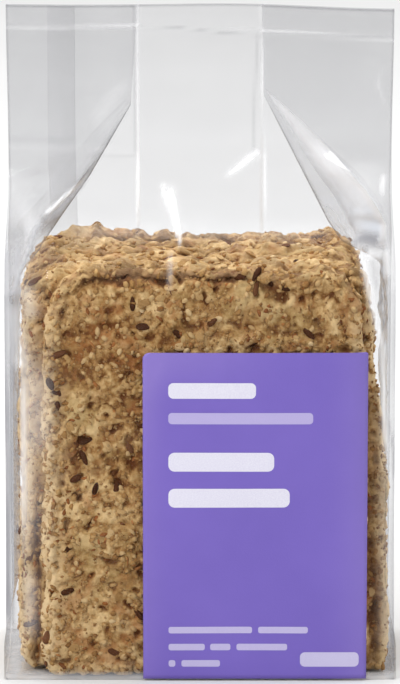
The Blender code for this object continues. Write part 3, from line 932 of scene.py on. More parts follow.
def wall_marks(side, down_wall, z):
    """Painted highlight and painted shade that its lines and slow streaks add to a gusset's wall.
    """
    streak = uneven(down_wall * 4.0, side * 3.0, z / WALL_STREAK_LENGTH)
    white = max(0.0, WALL_HIGHLIGHT * (0.5 + streak))
    shade = max(0.0, WALL_SHADE * (0.5 - streak))
    if side < 0:
        white *= smooth_step(0.35, 0.75, down_wall)
    for line in WALL_LINES[side]:
        up = (z / MM - line.z[0]) / (line.z[1] - line.z[0])
        if 0.0 < up < 1.0:
            strength = bell(down_wall - (line.at[0] + (line.at[1] - line.at[0]) * up), line.width)
            strength *= smooth_step(0.0, 0.15, up) * smooth_step(0.0, 0.25, 1.0 - up)
            white += line.white * strength
            shade += line.shade * strength
    return white, shade


def crumple(side, y, z, down_wall):
    """How far a gusset's wall is crumpled out of its plane."""
    free = smooth_step(*CRUMPLE_FULL_Z, z) * (1.0 - smooth_step(*CRUMPLE_END_Z, z))
    ripple = uneven(side * 9.0, y / CRUMPLE_LENGTH, z / (0.7 * CRUMPLE_LENGTH))
    ripple += 0.5 * uneven(side * 5.0, y / (0.4 * CRUMPLE_LENGTH), z / (0.3 * CRUMPLE_LENGTH))
    from_crease = smooth_step(0.0, 0.2, down_wall)
    from_fold = smooth_step(0.0, 0.1, 1.0 - down_wall)
    return CRUMPLE * ripple * (0.15 + free) * from_crease * from_fold


def film_gusset(name, side, material):
    """A side gusset: folded in between the panels at the fin, and round the stack's side below."""
    heights = spaced(0.0, BAG_HEIGHT - GUSSET_TOP_DROP, FILM_STEP)
    columns = 2 * (GUSSET_FLAT_COLUMNS + GUSSET_WALL_COLUMNS) + 1
    points, whites, shades, calms, cools = [], [], [], [], []
    for z in heights:
        above = smooth_step(*WALL_LOOK_Z, z)
        below_fin = 1.0 - smooth_step(*WALL_LOOK_END_Z, z)
        for i, (x, y) in enumerate(gusset_section(side, z)):
            past_flat = min(i, columns - 1 - i) - GUSSET_FLAT_COLUMNS
            down_wall = min(1.0, max(0.0, past_flat / GUSSET_WALL_COLUMNS))
            x += crumple(side, y, z, down_wall)
            near = 1.0 if i < columns / 2 else BACK_WALL_LOOK
            white, shade = wall_marks(side, down_wall, z) if past_flat > 0 else (0.0, 0.0)
            whites.append(white * near * above * below_fin)
            shades.append(shade * near * above * below_fin + edge_shade(BAG_HEIGHT - z))
            calms.append(smooth_step(0.05, 0.2, down_wall) * above)
            # Where the wall's painted highlights are tinted cool against the warm bounced light,
            # fading out above
            cools.append(calms[-1] * (1.0 - smooth_step(*WALL_COOL_END_Z, z)))
            points.append((side * x, y + fin_sway(side * x, z), z - top_drop(side * x, z)))
    faces = grid_faces(columns, len(heights), flipped=side < 0)
    marks = {"white": whites, "shade": shades, "calm": calms, "cool": cools}
    return new_piece(name, points, faces, material, "clear_film", **marks)


def film_base(material):
    """The folded block bottom that the pack stands on."""
    half_x, half_y = BAG_HALF_WIDTH, BODY_DEPTH / 2.0 - FOOT_INSET
    columns = spaced(-half_x, half_x, BASE_STEP)
    rows = spaced(-half_y, half_y, BASE_STEP)
    points, whites = [], []
    for y in rows:
        for x in columns:
            edge = min(half_x - abs(x), half_y - abs(y))
            crinkle = uneven(x / BASE_CRINKLE_LENGTH, y / BASE_CRINKLE_LENGTH, BASE_CRINKLE_SEED)
            lift = BASE_CRINKLE * (0.5 + crinkle) * min(1.0, edge / BASE_FLAT_EDGE)
            points.append((x, y, max(0.0, lift)))
            flap = min(abs(abs(y) - (half_x - abs(x))), abs(edge - BASE_FLAP))
            # Partly the film's own whitish crinkles and flap lines, partly painted light that
            # lightens the shaded floor seen through the bottom
            white = 0.35 + 0.5 * crinkle + 0.25 * bell(flap, BASE_FLAP_LINE)
            whites.append(min(MOST_OPAQUE, white))
    faces = grid_faces(len(columns), len(rows), flipped=True)
    marks = {"white": whites, "shade": [0.0] * len(points)}
    return new_piece("film_base", points, faces, material, "clear_film", **marks)


# Crackers, all in millimetres

CRACKER_COUNT = 8
CRACKER_THICKNESS = 6.6
CRACKER_PITCH = 6.86
STACK_FRONT_Y = -27.1
EDGE_ROUND = 2.6
EDGE_RINGS = 10
FINE_STEP = 0.5
EDGE_STEP = 0.75
LOWEST_Z = 0.55
FILM_ROOM = 0.30
FILM_SOFTNESS = 0.2
CORNER_ROUNDS = {(-1, 1): 12.0, (1, 1): 8.0, (-1, -1): 5.0, (1, -1): 3.2}
MIDDLE_CORNERS = 0.7
FOOT_SPREAD = 1.2
FOOT_SPREAD_Z = (24.0, 46.0)
# How wide the painted highlight along each cracker's rim is
RIM_WIDTH = 2.6

# Left, right, low and high sides of the two crackers in front, and of the others before each one
# is made a little different
FRONT_SIDES = (-46.4, 48.8, 0.6, 121.2)
SECOND_SIDES = (-52.3, 55.0, 0.2, 123.6)
OTHER_SIDES = (-53.8, 53.6, 1.0, 123.6)
BACK_TOP_Z = 124.3
BACK_WIDENING = 0.6

# How far the sides are drawn in at the top, for the front cracker and for the others
DRAWN_IN_RIGHT = (1.5, 5.2)
DRAWN_IN_LEFT = (1.2, 1.0)
DRAWN_IN_RIGHT_Z = (55.0, 124.0)
DRAWN_IN_LEFT_Z = (75.0, 122.0)
BESIDE_MIDDLE = 5.0

# How much higher than its plain outline a cracker's top is, as pairs of place from left to right
# and rise, for the front one and for the back one, whose top is the skyline of the stack
FRONT_TOP_RISE = ((-46.0, 0.6), (-38.0, 2.8), (-12.0, 2.8), (8.0, 2.3), (28.0, 2.3))
FRONT_TOP_RISE += ((40.0, 1.6), (47.0, 0.4))
BACK_TOP_RISE = ((-46.0, -0.5), (-40.0, 1.4), (-34.0, 1.8), (-31.0, 3.4), (-28.0, 1.4))
BACK_TOP_RISE += ((-18.0, 1.0), (-15.0, 0.0), (-12.0, 1.4), (-6.0, -0.6), (3.0, 0.4))
BACK_TOP_RISE += ((20.0, -0.3), (36.0, 0.2), (43.0, 1.4), (48.0, 0.4))
TOP_RISE = {0: FRONT_TOP_RISE, CRACKER_COUNT - 1: BACK_TOP_RISE}

# How wide the raised lip along the front cracker's top is, as pairs of place and width, and how
# deep the hollow under it is, as pairs of place and depth
LIP_WIDTH = ((-46.0, 4.4), (-39.0, 4.4), (-34.0, 2.0), (-27.0, 0.2))
LIP_WIDTH += ((8.0, 0.0), (18.0, 0.8), (24.0, 3.6), (42.0, 4.6))
LIP_HOLLOW = ((-46.0, 0.4), (-38.0, 1.2), (-30.0, 2.1), (-6.0, 2.0))
LIP_HOLLOW += ((6.0, 1.6), (18.0, 1.0), (44.0, 0.8))
SIDE_LIP_WIDTH = 2.4
SIDE_LIP_HOLLOW = 0.3
HOLLOW_AWAY = 1.5
HOLLOW_WIDTH = 1.4

# Deeper hollows in the front cracker: middle from left to right, height, half width, half height
# and depth
FRONT_HOLLOWS = (
    (46.2, 118.6, 2.0, 3.0, 2.6),
    (27.5, 121.2, 6.0, 0.6, 1.3),
    (10.5, 118.6, 3.0, 1.1, 1.1),
    (22.5, 113.6, 3.4, 1.3, 1.2),
    (-27.5, 106.6, 3.4, 1.6, 1.7),
    (14.3, 106.4, 2.2, 1.6, 1.5),
    (28.0, 105.0, 5.0, 1.1, 1.4),
    (-20.0, 66.0, 1.2, 3.6, 1.3),
    (-36.0, 55.0, 2.6, 1.4, 1.0),
    (-26.0, 22.0, 3.2, 1.5, 1.2),
)

# Grooves of the second cracker beside the front one: middle from left to right, half width, depth,
# and the heights between which each one fades out
GROOVES = ((-47.4, 1.2, 1.8, 44.0, 64.0), (50.6, 1.7, 1.7, 24.0, 46.0))


def cracker_sides():
    """Left, right, low and high sides of each cracker from front to back."""
    dice = random.Random(41)
    sides = [FRONT_SIDES, SECOND_SIDES]
    left, right, low, high = OTHER_SIDES
    for i in range(2, CRACKER_COUNT):
        last = i == CRACKER_COUNT - 1
        own_left = left + dice.uniform(0.0, 1.0)
        own_right = right - dice.uniform(0.0, 1.4) + (BACK_WIDENING if last else 0.0)
        own_high = BACK_TOP_Z if last else high + dice.uniform(-1.4, 1.4)
        sides.append((own_left, own_right, low + dice.uniform(0.0, 0.8), own_high))
    return sides


def front_hollow(x, z):
    """How deep the front cracker's deeper hollows are at x and z."""
    deep = 0.0
    for at_x, at_z, half_x, half_z, depth in FRONT_HOLLOWS:
        away = ((x - at_x) / half_x) ** 2 + ((z - at_z) / half_z) ** 2
        if away < 9.0:
            deep += depth * math.exp(-away)
    return deep


def groove(x, z):
    """How deep the second cracker's grooves are at x and z."""
    deep = 0.0
    for at_x, half_x, depth, full_z, end_z in GROOVES:
        deep += depth * bell(x - at_x, half_x) * (1.0 - smooth_step(full_z, end_z, z))
    return deep


def crumb_relief(p, seed, on_top):
    """Relief of the baked surface at a point: broad waves, lumps, grain, pits and short cracks.

    On top of a cracker it is drawn out from side to side, with coarser lumps and shallower pits.
    """
    q = Vector((p.x * (1.0 - 0.25 * on_top), p.y + 31.0 * seed, p.z))
    broad = noise.noise(q / 19.0) * 0.6 + noise.noise(q / 8.0) * 1.2 * on_top
    lumps = noise.noise(q / 4.8) * 1.25
    cells = (0.42 - noise.voronoi(q / 2.7)[0][0] * 0.95) * (1.0 - 0.6 * on_top)
    fine = noise.noise(q / 1.3) * 0.5 + noise.noise(q / 2.1) * 0.5 * on_top
    pit = smooth_step(0.22, 0.50, noise.noise(q / 3.4 + Vector((7.0, 1.0, 3.0)))) * 1.2
    from_crack = abs(noise.noise(q / 5.5 + Vector((3.0, 9.0, 1.0))))
    cracked = smooth_step(0.10, 0.30, noise.noise(q / 6.5 + Vector((1.0, 4.0, 8.0))))
    crack = (1.0 - smooth_step(0.0, 0.07, from_crack)) * cracked
    return broad + lumps + cells * 0.8 + fine - (pit + crack) * (1.0 - 0.7 * on_top)


def plan_place(u, v, box, tight):
    """A point of a rounded rectangle for u and v from -1 to 1, with the way out of its side there.

    Its corners are rounded less where tight is below 1.
    """
    left, right, low, high = box
    half_x, half_z = (right - left) / 2.0, (high - low) / 2.0
    side_x, side_z = (1 if u > 0 else -1), (1 if v > 0 else -1)
    corner = CORNER_ROUNDS[(side_x, side_z)] * tight
    x, z = abs(u) * half_x, abs(v) * half_z
    across, up = x - (half_x - corner), z - (half_z - corner)
    out = Vector((0.0, 0.0))
    if across > 0.0 and up > 0.0:
        p, q = across / corner, up / corner
        bent = Vector((p * math.sqrt(1.0 - q * q / 2.0), q * math.sqrt(1.0 - p * p / 2.0)))
        x, z = half_x - corner + corner * bent.x, half_z - corner + corner * bent.y
        out = bent.normalized()
    elif x > half_x - 1e-6:
        out = Vector((1.0, 0.0))
    elif z > half_z - 1e-6:
        out = Vector((0.0, 1.0))
    middle_x, middle_z = (left + right) / 2.0, (low + high) / 2.0
    return middle_x + side_x * x, middle_z + side_z * z, Vector((side_x * out.x, side_z * out.y))


def even_shares(length, step):
    """Even places from -1 to 1, about a step apart over this length."""
    count = round(length / step)
    return [2.0 * i / count - 1.0 for i in range(count + 1)]


class Cracker:
    """One cracker being shaped: two faces joined by a rounded rim, all uneven."""

    def __init__(self, index, sides):
        self.index = index
        self.seed = index + 1
        self.left, self.right, self.low, self.high = sides
        self.rise = TOP_RISE.get(index)
        self.points, self.faces = [], []
        self.reliefs, self.rims, self.crests = [], [], []

    def side_highlight(self, x, z):
        """How much painted highlight lightens the sides of the two crackers in front at x and z."""
        from_left = x - self.left
        if self.index == 0:
            broad = 1.4 * bell(from_left, 5.5) * (1.0 - smooth_step(84.0, 96.0, z))
            return broad + 0.6 * bell(from_left, 2.2) * (1.0 - smooth_step(100.0, 116.0, z))
        if self.index == 1:
            at_left = 1.35 * bell(from_left, 6.5) * (1.0 - 0.6 * smooth_step(112.0, 122.0, z))
            at_right = 1.3 * bell(self.right - x, 3.0)
            return (at_left + at_right) * max(0.0, 1.0 - 0.55 * groove(x, z))
        return 0.0

    def lip_and_hollow(self, x, z, edge, at_top):
        """How far the knobbly lip of the rim stands out, and how deep the hollows inside it are."""
        seed = self.seed
        ragged = edge + 1.2 * uneven(x / 8.0, seed, z / 8.0) + 1.1 * uneven(x / 2.7, seed, z / 2.7)
        lip_end = SIDE_LIP_WIDTH + (along_mm(LIP_WIDTH, x) - SIDE_LIP_WIDTH) * at_top
        lipped = at_top * (1.0 if self.index == 0 else 0.25)
        knobs = 0.75 + 1.1 * uneven(x / 3.1, seed * 2.0, z / 3.1)
        knobs += 0.9 * uneven(x / 1.5, seed * 6.0, z / 1.5)
        lip = knobs * (1.0 - smooth_step(lip_end, lip_end + 0.8, ragged)) * (0.3 + 0.7 * lipped)
        hollow = bell(ragged - lip_end - HOLLOW_AWAY, HOLLOW_WIDTH)
        hollow *= SIDE_LIP_HOLLOW + (along_mm(LIP_HOLLOW, x) - SIDE_LIP_HOLLOW) * lipped
        if self.index == 0:
            hollow += front_hollow(x, z)
        elif self.index == 1:
            hollow += groove(x, z)
        return lip, hollow

    def moved_left(self, x, z):
        """How far a point moves left, as the top is drawn in and the others' foot is spread."""
        kind = min(1, self.index)
        at_left = smooth_step(BESIDE_MIDDLE, -self.left, -x)
        at_right = smooth_step(BESIDE_MIDDLE, self.right, x)
        moved = DRAWN_IN_RIGHT[kind] * smooth_step(*DRAWN_IN_RIGHT_Z, z) * at_right
        moved -= DRAWN_IN_LEFT[kind] * smooth_step(*DRAWN_IN_LEFT_Z, z) * at_left
        if self.index:
            spread = FOOT_SPREAD * (1.0 - smooth_step(*FOOT_SPREAD_Z, z))
            moved += spread * (0.6 * at_left - at_right)
        return moved

    def crest(self, x, y):
        """How much higher than plain the top is at x and y."""
        seed = self.seed
        crest = 1.8 * uneven(x / 8.5, seed * 5.0, 1.0) + 1.1 * uneven(x / 3.3, seed * 7.0, 2.0)
        if not self.rise:
            return crest
        return 0.6 * crest + along_mm(self.rise, x) + 0.9 * uneven(x / 1.7, y / 1.7, seed * 8.0)

    def add(self, x, y, z, way, edge):
        """Adds a point of the plain form with the way out of it there, moved by all the above."""
        at_top = smooth_step(self.high - 14.0, self.high - 6.0, z)
        # Painted highlight along the rim and on the sides of the two crackers in front, which also
        # raises the relief there
        rim = max(bell(edge, RIM_WIDTH) * (1.0 - 0.65 * at_top), self.side_highlight(x, z))
        lip, hollow = self.lip_and_hollow(x, z, edge, at_top)
        hollow *= 1.0 - abs(way.x)
        relief = crumb_relief(Vector((x, y, z)), self.seed, max(0.0, way.z))
        out = relief * (0.85 + 0.4 * rim) * (1.0 - 0.45 * abs(way.x))
        out = out + lip * abs(way.y) - hollow * abs(way.y)
        warp = Vector((x / 17.0, self.seed * 3.0, z / 17.0))
        lean = 0.0 if self.rise else 1.6 * uneven(x / 12.0, self.seed * 4.0, 7.0) * at_top
        warp_up = noise.noise(warp + Vector((9.0, 0.0, 5.0)))
        new_x = x - self.moved_left(x, z) + way.x * out + 1.2 * noise.noise(warp)
        new_z = max(LOWEST_Z, z + way.z * out + warp_up + self.crest(x, y) * at_top)
        front_limit = -panel_depth(new_x * MM, new_z * MM, False) / MM + FILM_ROOM
        back_limit = panel_depth(new_x * MM, new_z * MM, True) / MM - FILM_ROOM
        new_y = -soft_min(-(y + way.y * out + lean), -front_limit, FILM_SOFTNESS)
        new_y = soft_min(new_y, back_limit, FILM_SOFTNESS)
        self.points.append((new_x * MM, new_y * MM, new_z * MM))
        # Hollows and grooves lower the relief mark, so the finish paints shade into them
        self.reliefs.append(relief - 0.85 * hollow)
        self.rims.append(rim)
        self.crests.append(smooth_step(0.2, 0.7, way.z))
        return len(self.points) - 1

    def face_grid(self, y, sign, us, vs, inner, tight):
        """Adds the points of a whole face and returns the first one's number."""
        start = len(self.points)
        for v in vs:
            for u in us:
                x, z, _ = plan_place(u, v, inner, tight)
                edge = min(x - self.left, self.right - x, z - self.low, self.high - z)
                edge = max(0.0, edge - EDGE_ROUND * 0.4)
                self.add(x, y, z, Vector((0.0, sign, 0.0)), edge)
        return start

    def rim_ring(self, y, sign, turn, sides):
        """Adds one ring of the rim, at an angle round its edge, and returns its points' numbers."""
        across, off = sign * math.cos(turn), math.sin(turn)
        edge = EDGE_ROUND * 0.6 * (1.0 - off)
        ring = []
        for x, z, out in sides:
            way = Vector((out.x * off, across, out.y * off))
            place = Vector((x, y, z)) + way * EDGE_ROUND
            ring.append(self.add(place.x, place.y, place.z, way, edge))
        return ring

    def shape(self):
        """Works out every point and face. Faces that no one sees are left plain."""
        inner = (self.left + EDGE_ROUND, self.right - EDGE_ROUND)
        inner += (self.low + EDGE_ROUND, self.high - EDGE_ROUND)
        last = self.index == CRACKER_COUNT - 1
        step = FINE_STEP if self.index == 0 or last else EDGE_STEP
        tight = 1.0 if self.rise else MIDDLE_CORNERS
        us, vs = even_shares(inner[1] - inner[0], step), even_shares(inner[3] - inner[2], step)
        n, m = len(us), len(vs)
        border = [(i, 0) for i in range(n)] + [(n - 1, j) for j in range(1, m)]
        border += [(i, m - 1) for i in range(n - 2, -1, -1)] + [(0, j) for j in range(m - 2, 0, -1)]
        sides = [plan_place(us[i], vs[j], inner, tight) for i, j in border]
        front_y = STACK_FRONT_Y + CRACKER_PITCH * self.index
        back_y = front_y + CRACKER_THICKNESS
        turns = quarter_turns(EDGE_RINGS)
        profile = [(-1.0, turn) for turn in turns] + [(1.0, turn) for turn in reversed(turns)]
        middle_y, straight = (front_y + back_y) / 2.0, (back_y - front_y) / 2.0 - EDGE_ROUND
        rings = []
        for sign, turn in profile:
            rings.append(self.rim_ring(middle_y + sign * straight, sign, turn, sides))
        for near, far in zip(rings, rings[1:]):
            for k in range(len(border)):
                after = (k + 1) % len(border)
                self.faces.append((near[k], near[after], far[after], far[k]))
        ends = ((rings[0], self.index < 2, front_y, -1.0), (rings[-1], last, back_y, 1.0))
        for ring, seen, y, sign in ends:
            if not seen:
                self.faces.append(tuple(reversed(ring)) if sign < 0 else tuple(ring))
                continue
            start = self.face_grid(y, sign, us, vs, inner, tight)
            own = dict(zip(((j * n + i) + start for i, j in border), ring))
            for face in grid_faces(n, m, start):
                kept = tuple(own.get(corner, corner) for corner in face)
                self.faces.append(kept if sign < 0 else kept[::-1])


def make_cracker(index, sides, material):
    """One cracker as a piece, without its loose points and with its faces turned outwards."""
    shaped = Cracker(index, sides)
    shaped.shape()
    marks = {"relief": shaped.reliefs, "rim": shaped.rims, "crest": shaped.crests}
    mesh = marked_mesh(f"cracker_{index + 1}", shaped.points, shaped.faces, **marks)
    bm = bmesh.new()
    bm.from_mesh(mesh)
    bmesh.ops.delete(bm, geom=[v for v in bm.verts if not v.link_faces], context="VERTS")
    bmesh.ops.triangulate(bm, faces=[f for f in bm.faces if len(f.verts) > 4])
    bmesh.ops.recalc_face_normals(bm, faces=bm.faces)
    bm.to_mesh(mesh)
    bm.free()
    return finished(mesh, material)


# Seeds, flakes and grain on the crackers


def seed_shape(length, width, thickness, point, rings=6, sides=8):
    """A flat seed lying along X: rounded at one end and drawn to a point at the other."""
    corners = [Vector((-length / 2.0, 0.0, 0.0))]
    for i in range(1, rings):
        t = -math.cos(math.pi * i / rings)
        swell = math.sqrt(1.0 - t * t) * (1.0 - point * t)
        for k in range(sides):
            turn = math.tau * k / sides
            y = swell * math.cos(turn) * width / 2.0
            z = swell * math.sin(turn) * thickness / 2.0
            corners.append(Vector((t * length / 2.0, y, z)))
    corners.append(Vector((length / 2.0, 0.0, 0.0)))
    faces = [(0, 1 + (k + 1) % sides, 1 + k) for k in range(sides)]
    for i in range(rings - 2):
        for k in range(sides):
            a, b = 1 + i * sides + k, 1 + i * sides + (k + 1) % sides
            faces.append((a, b, b + sides, a + sides))
    last = len(corners) - 1
    faces += [(last, last - sides + k, last - sides + (k + 1) % sides) for k in range(sides)]
    return corners, faces


def flake_shape(length, width, thickness, dice, sides=12):
    """A rolled flake: a thin ragged oval, curled, with a crease along its middle."""
    corners, faces = [], []
    curl = dice.uniform(0.04, 0.16)
    ragged = [dice.uniform(0.82, 1.12) for _ in range(sides)]
    for sign in (1.0, -1.0):
        start = len(corners)
        corners.append(Vector((0.0, 0.0, sign * thickness * 0.35)))
        for ring, share in enumerate((0.55, 1.0)):
            for k in range(sides):
                turn = math.tau * k / sides
                reach = share * (ragged[k] if ring else 1.0)
                x = math.cos(turn) * reach * length / 2.0
                y = math.sin(turn) * reach * width / 2.0
                z = sign * thickness * (0.5 if not ring else 0.12)
                z += curl * (x * x / length + y * y / width)
                creased = abs(y) < 0.1 * width and sign > 0
                corners.append(Vector((x, y, z - (0.3 * thickness if creased else 0.0))))
        for k in range(sides):
            after = (k + 1) % sides
            inner, outer = start + 1, start + 1 + sides
            tri = (start, inner + k, inner + after)
            quad = (inner + k, outer + k, outer + after, inner + after)
            faces += [tri, quad] if sign > 0 else [tri[::-1], quad[::-1]]
    upper, lower = 1 + sides, 2 + 3 * sides
    for k in range(sides):
        after = (k + 1) % sides
        faces.append((upper + k, lower + k, lower + after, upper + after))
    return corners, faces


def round_lump():
    """Corners and faces of a small round lump."""
    bm = bmesh.new()
    bmesh.ops.create_icosphere(bm, subdivisions=1, radius=0.5)
    corners = [v.co.copy() for v in bm.verts]
    faces = [tuple(v.index for v in f.verts) for f in bm.faces]
    bm.free()
    return corners, faces


BIT_CORNERS, BIT_FACES = round_lump()
CRUMB_CORNERS = [
    Vector(v) for v in ((1, 0, 0), (-1, 0, 0), (0, 1, 0), (0, -1, 0), (0, 0, 1), (0, 0, -1))
]
CRUMB_FACES = [
    (0, 2, 4), (2, 1, 4), (1, 3, 4), (3, 0, 4), (2, 0, 5), (1, 2, 5), (3, 1, 5), (0, 3, 5)
]


def bit_shape(length, width, thickness, dice):
    """A cut or broken piece of grain: a lump with uneven corners."""
    corners = []
    for corner in BIT_CORNERS:
        size = dice.uniform(0.72, 1.22)
        corners.append(Vector((corner.x * length, corner.y * width, corner.z * thickness)) * size)
    return corners, BIT_FACES


def crumb_shape(length, width, thickness, dice):
    """A crumb: the smallest lump, with eight faces."""
    half = Vector((length / 2.0, width / 2.0, thickness / 2.0))
    return [corner * dice.uniform(0.7, 1.3) * half for corner in CRUMB_CORNERS], CRUMB_FACES


def oat_flake(dice):
    return flake_shape(dice.uniform(3.2, 5.6), dice.uniform(2.2, 3.6), dice.uniform(0.6, 0.9), dice)


def sesame_seed(dice):
    return seed_shape(dice.uniform(1.8, 2.8), dice.uniform(1.4, 1.9), dice.uniform(1.0, 1.3), 0.3)


def flax_seed(dice):
    return seed_shape(dice.uniform(3.8, 5.0), dice.uniform(1.7, 2.3), dice.uniform(0.9, 1.2), 0.22)


def grain_bit(dice):
    return bit_shape(dice.uniform(1.3, 3.2), dice.uniform(1.1, 2.3), dice.uniform(0.9, 1.7), dice)


def bran_bit(dice):
    return bit_shape(dice.uniform(1.2, 3.6), dice.uniform(0.7, 1.8), dice.uniform(0.25, 0.5), dice)


def crumb(dice):
    return crumb_shape(dice.uniform(0.6, 1.5), dice.uniform(0.5, 1.1), dice.uniform(0.4, 1.0), dice)


# How pieces are dropped on the stack: start corner, two sides to spread over, and the way they go
DROPS = {
    "front": ((-53.0, -45.0, 1.5), (107.5, 0.0, 0.0), (0.0, 0.0, 122.0), (0.0, 1.0, 0.0)),
    "back": ((-53.0, 45.0, 1.5), (107.5, 0.0, 0.0), (0.0, 0.0, 122.0), (0.0, -1.0, 0.0)),
    "top": ((-52.0, -28.0, 150.0), (106.0, 0.0, 0.0), (0.0, 56.0, 0.0), (0.0, 0.0, -1.0)),
    "left": ((-70.0, -28.0, 1.5), (0.0, 56.0, 0.0), (0.0, 0.0, 120.0), (1.0, 0.0, 0.0)),
    "right": ((70.0, -28.0, 1.5), (0.0, 56.0, 0.0), (0.0, 0.0, 120.0), (-1.0, 0.0, 0.0)),
}
PIECE_ROOM = 0.45 * MM
PIECE_LOWEST_Z = 1.2 * MM

# Left of here the pieces on the front are painted paler, to match the painted highlight on the
# crumb round them
PAINTED_LIGHT_SIDE_X = -44.0 * MM

# The flax seeds that show most on the front: x and z in millimetres, and turn in degrees
FLAX_PLACES = (
    (-19.7, 113.9, 88.0),
    (-22.4, 121.0, -15.0),
    (-6.2, 104.3, -45.0),
    (-16.4, 107.0, 5.0),
    (11.6, 121.6, 10.0),
    (16.4, 118.4, 80.0),
    (20.5, 119.6, -35.0),
    (24.8, 118.4, -8.0),
    (31.9, 104.9, -50.0),
    (-41.3, 98.6, 20.0),
    (-43.9, 89.9, -70.0),
    (-42.2, 87.3, -40.0),
    (-41.9, 83.3, -62.0),
    (-36.2, 71.4, -58.0),
    (-34.2, 67.4, -62.0),
    (-20.6, 70.4, -55.0),
    (-30.8, 58.1, 75.0),
    (-24.6, 58.4, 80.0),
    (-38.7, 40.1, 40.0),
    (-39.2, 26.9, 10.0),
    (-25.3, 7.9, -20.0),
    (-50.6, 35.0, 60.0),
    (-50.4, 15.5, 10.0),
    (-48.4, 119.0, 40.0),
)


def inside_film(spot):
    """True where a piece at this spot stays behind the film."""
    if spot.z < PIECE_LOWEST_Z:
        return False
    return abs(spot.y) < panel_depth(spot.x, spot.z, spot.y >= 0.0) - PIECE_ROOM


# A kind of piece: how one is made, how many are dropped from each of DROPS, how deep they sink as a
# share, how far they tilt in radians, the random seed, finish and slot, and places of their own
BakedIn = namedtuple(
    "BakedIn", "make counts sink tilt seed material slot places", defaults=("cracker_crumb", ())
)


def scatter(name, stack, kind):
    """Joins many pieces of one kind, each set into the stack's surface where it lands.

    Those that have places of their own come last.
    """
    dice = random.Random(kind.seed)
    points, faces, tones = [], [], []

    def drop_piece(spot, way, own_turn=None):
        hit, normal, _, _ = stack.ray_cast(spot, way)
        corners, own_faces = kind.make(dice)
        spin, lean = dice.uniform(0.0, math.tau), dice.gauss(0.0, kind.tilt)
        lean_way = dice.uniform(0.0, math.tau)
        tone = dice.random()
        if hit is None or not inside_film(hit):
            return
        # Pieces on the front's left side are painted paler, with the painted highlight there
        if own_turn is None and way.y > 0.0 and hit.x < PAINTED_LIGHT_SIDE_X:
            tone = 0.5 + 0.5 * tone
        if normal.dot(way) > 0.0:
            normal = -normal
        spin = spin if own_turn is None else math.radians(own_turn)
        face = (normal * 0.6 - way * 0.4).normalized()
        lean_axis = Vector((math.cos(lean_way), math.sin(lean_way), 0.0))
        turn = face.to_track_quat("Z", "Y").to_matrix()
        turn = turn @ Matrix.Rotation(lean, 3, lean_axis)
        turn = turn @ Matrix.Rotation(spin, 3, "Z")
        height = max(c.z for c in corners)
        place = hit + face * (height * (1.0 - 2.0 * kind.sink)) * MM
        base = len(points)
        points.extend(tuple(place + turn @ corner * MM) for corner in corners)
        faces.extend(tuple(base + corner for corner in own) for own in own_faces)
        tones.extend([tone] * len(corners))

    for drop, count in zip(DROPS.values(), kind.counts):
        start, across, up, way = (Vector(v) for v in drop)
        for _ in range(count):
            drop_piece((start + across * dice.random() + up * dice.random()) * MM, way)
    start, _, _, way = (Vector(v) for v in DROPS["front"])
    for x, z, own_turn in kind.places:
        drop_piece(Vector((x, start.y, z)) * MM, way, own_turn)
    return new_piece(name, points, faces, kind.material, kind.slot, tone=tones)


def make_seeds(stack):
    """Everything baked into the crackers' surfaces."""
    oat = grain_finish("oat_flake", OAT_COLOURS, 0.65, 0.2, 0.3)
    sesame = grain_finish("sesame_seed", SESAME_COLOURS, 0.5, 0.3)
    flax = grain_finish("flax_seed", FLAX_COLOURS, 0.5, 0.12)
    grain = grain_finish("grain_bit", GRAIN_COLOURS, 0.65, 0.2)
    bran = grain_finish("bran_bit", BRAN_COLOURS, 0.65, 0.2)
    dull = grain_finish("crumb", CRUMB_COLOURS, 0.7, 0.2)
    kinds = (
        ("oat_flakes", oat_flake, (46, 60, 44, 20, 20), 0.62, 0.3, 5, oat, "oat_flake"),
        ("sesame_seeds", sesame_seed, (50, 40, 20, 8, 8), 0.45, 0.4, 6, sesame, "sesame_seed"),
        ("flax_seeds", flax_seed, (9, 28, 8, 5, 5), 0.40, 0.2, 7, flax, "flax_seed", FLAX_PLACES),
        ("grain_bits", grain_bit, (1250, 900, 420, 260, 260), 0.55, 0.4, 8, grain),
        ("bran_bits", bran_bit, (300, 220, 30, 70, 70), 0.45, 0.4, 9, bran),
        ("crumbs", crumb, (2800, 2000, 160, 500, 500), 0.35, 0.5, 10, dull),
    )
    for name, *kind in kinds:
        scatter(name, stack, BakedIn(*kind))


# Label


def label_edge(edge_x, radius, inward, z):
    """Where one side of the label lies at height z, rounded in at its top corner."""
    above = max(0.0, z - (LABEL_HIGH.z - radius))
    inset = radius - math.sqrt(max(0.0, radius * radius - above * above))
    return edge_x + inward * inset


def front_point(x, z, lift):
    """A point lift in front of the front panel."""
    return (x, -panel_depth(x, z, False) - lift + fin_sway(x, z), z)


def label_sheen(x, z):
    """How much a painted sheen pales the label close to its sides and its top left corner."""
    near_left = bell(x - LABEL_LOW.x, 5.0 * MM)
    near_right = bell(LABEL_HIGH.x - x, 8.0 * MM)
    near_top = bell(LABEL_HIGH.z - z, 9.0 * MM) * (1.0 - smooth_step(-10.0 * MM, 30.0 * MM, x))
    pale = near_left * (0.4 + 0.6 * smooth_step(60.0 * MM, 100.0 * MM, z))
    return min(1.0, pale + 0.6 * near_right + 0.8 * near_top)


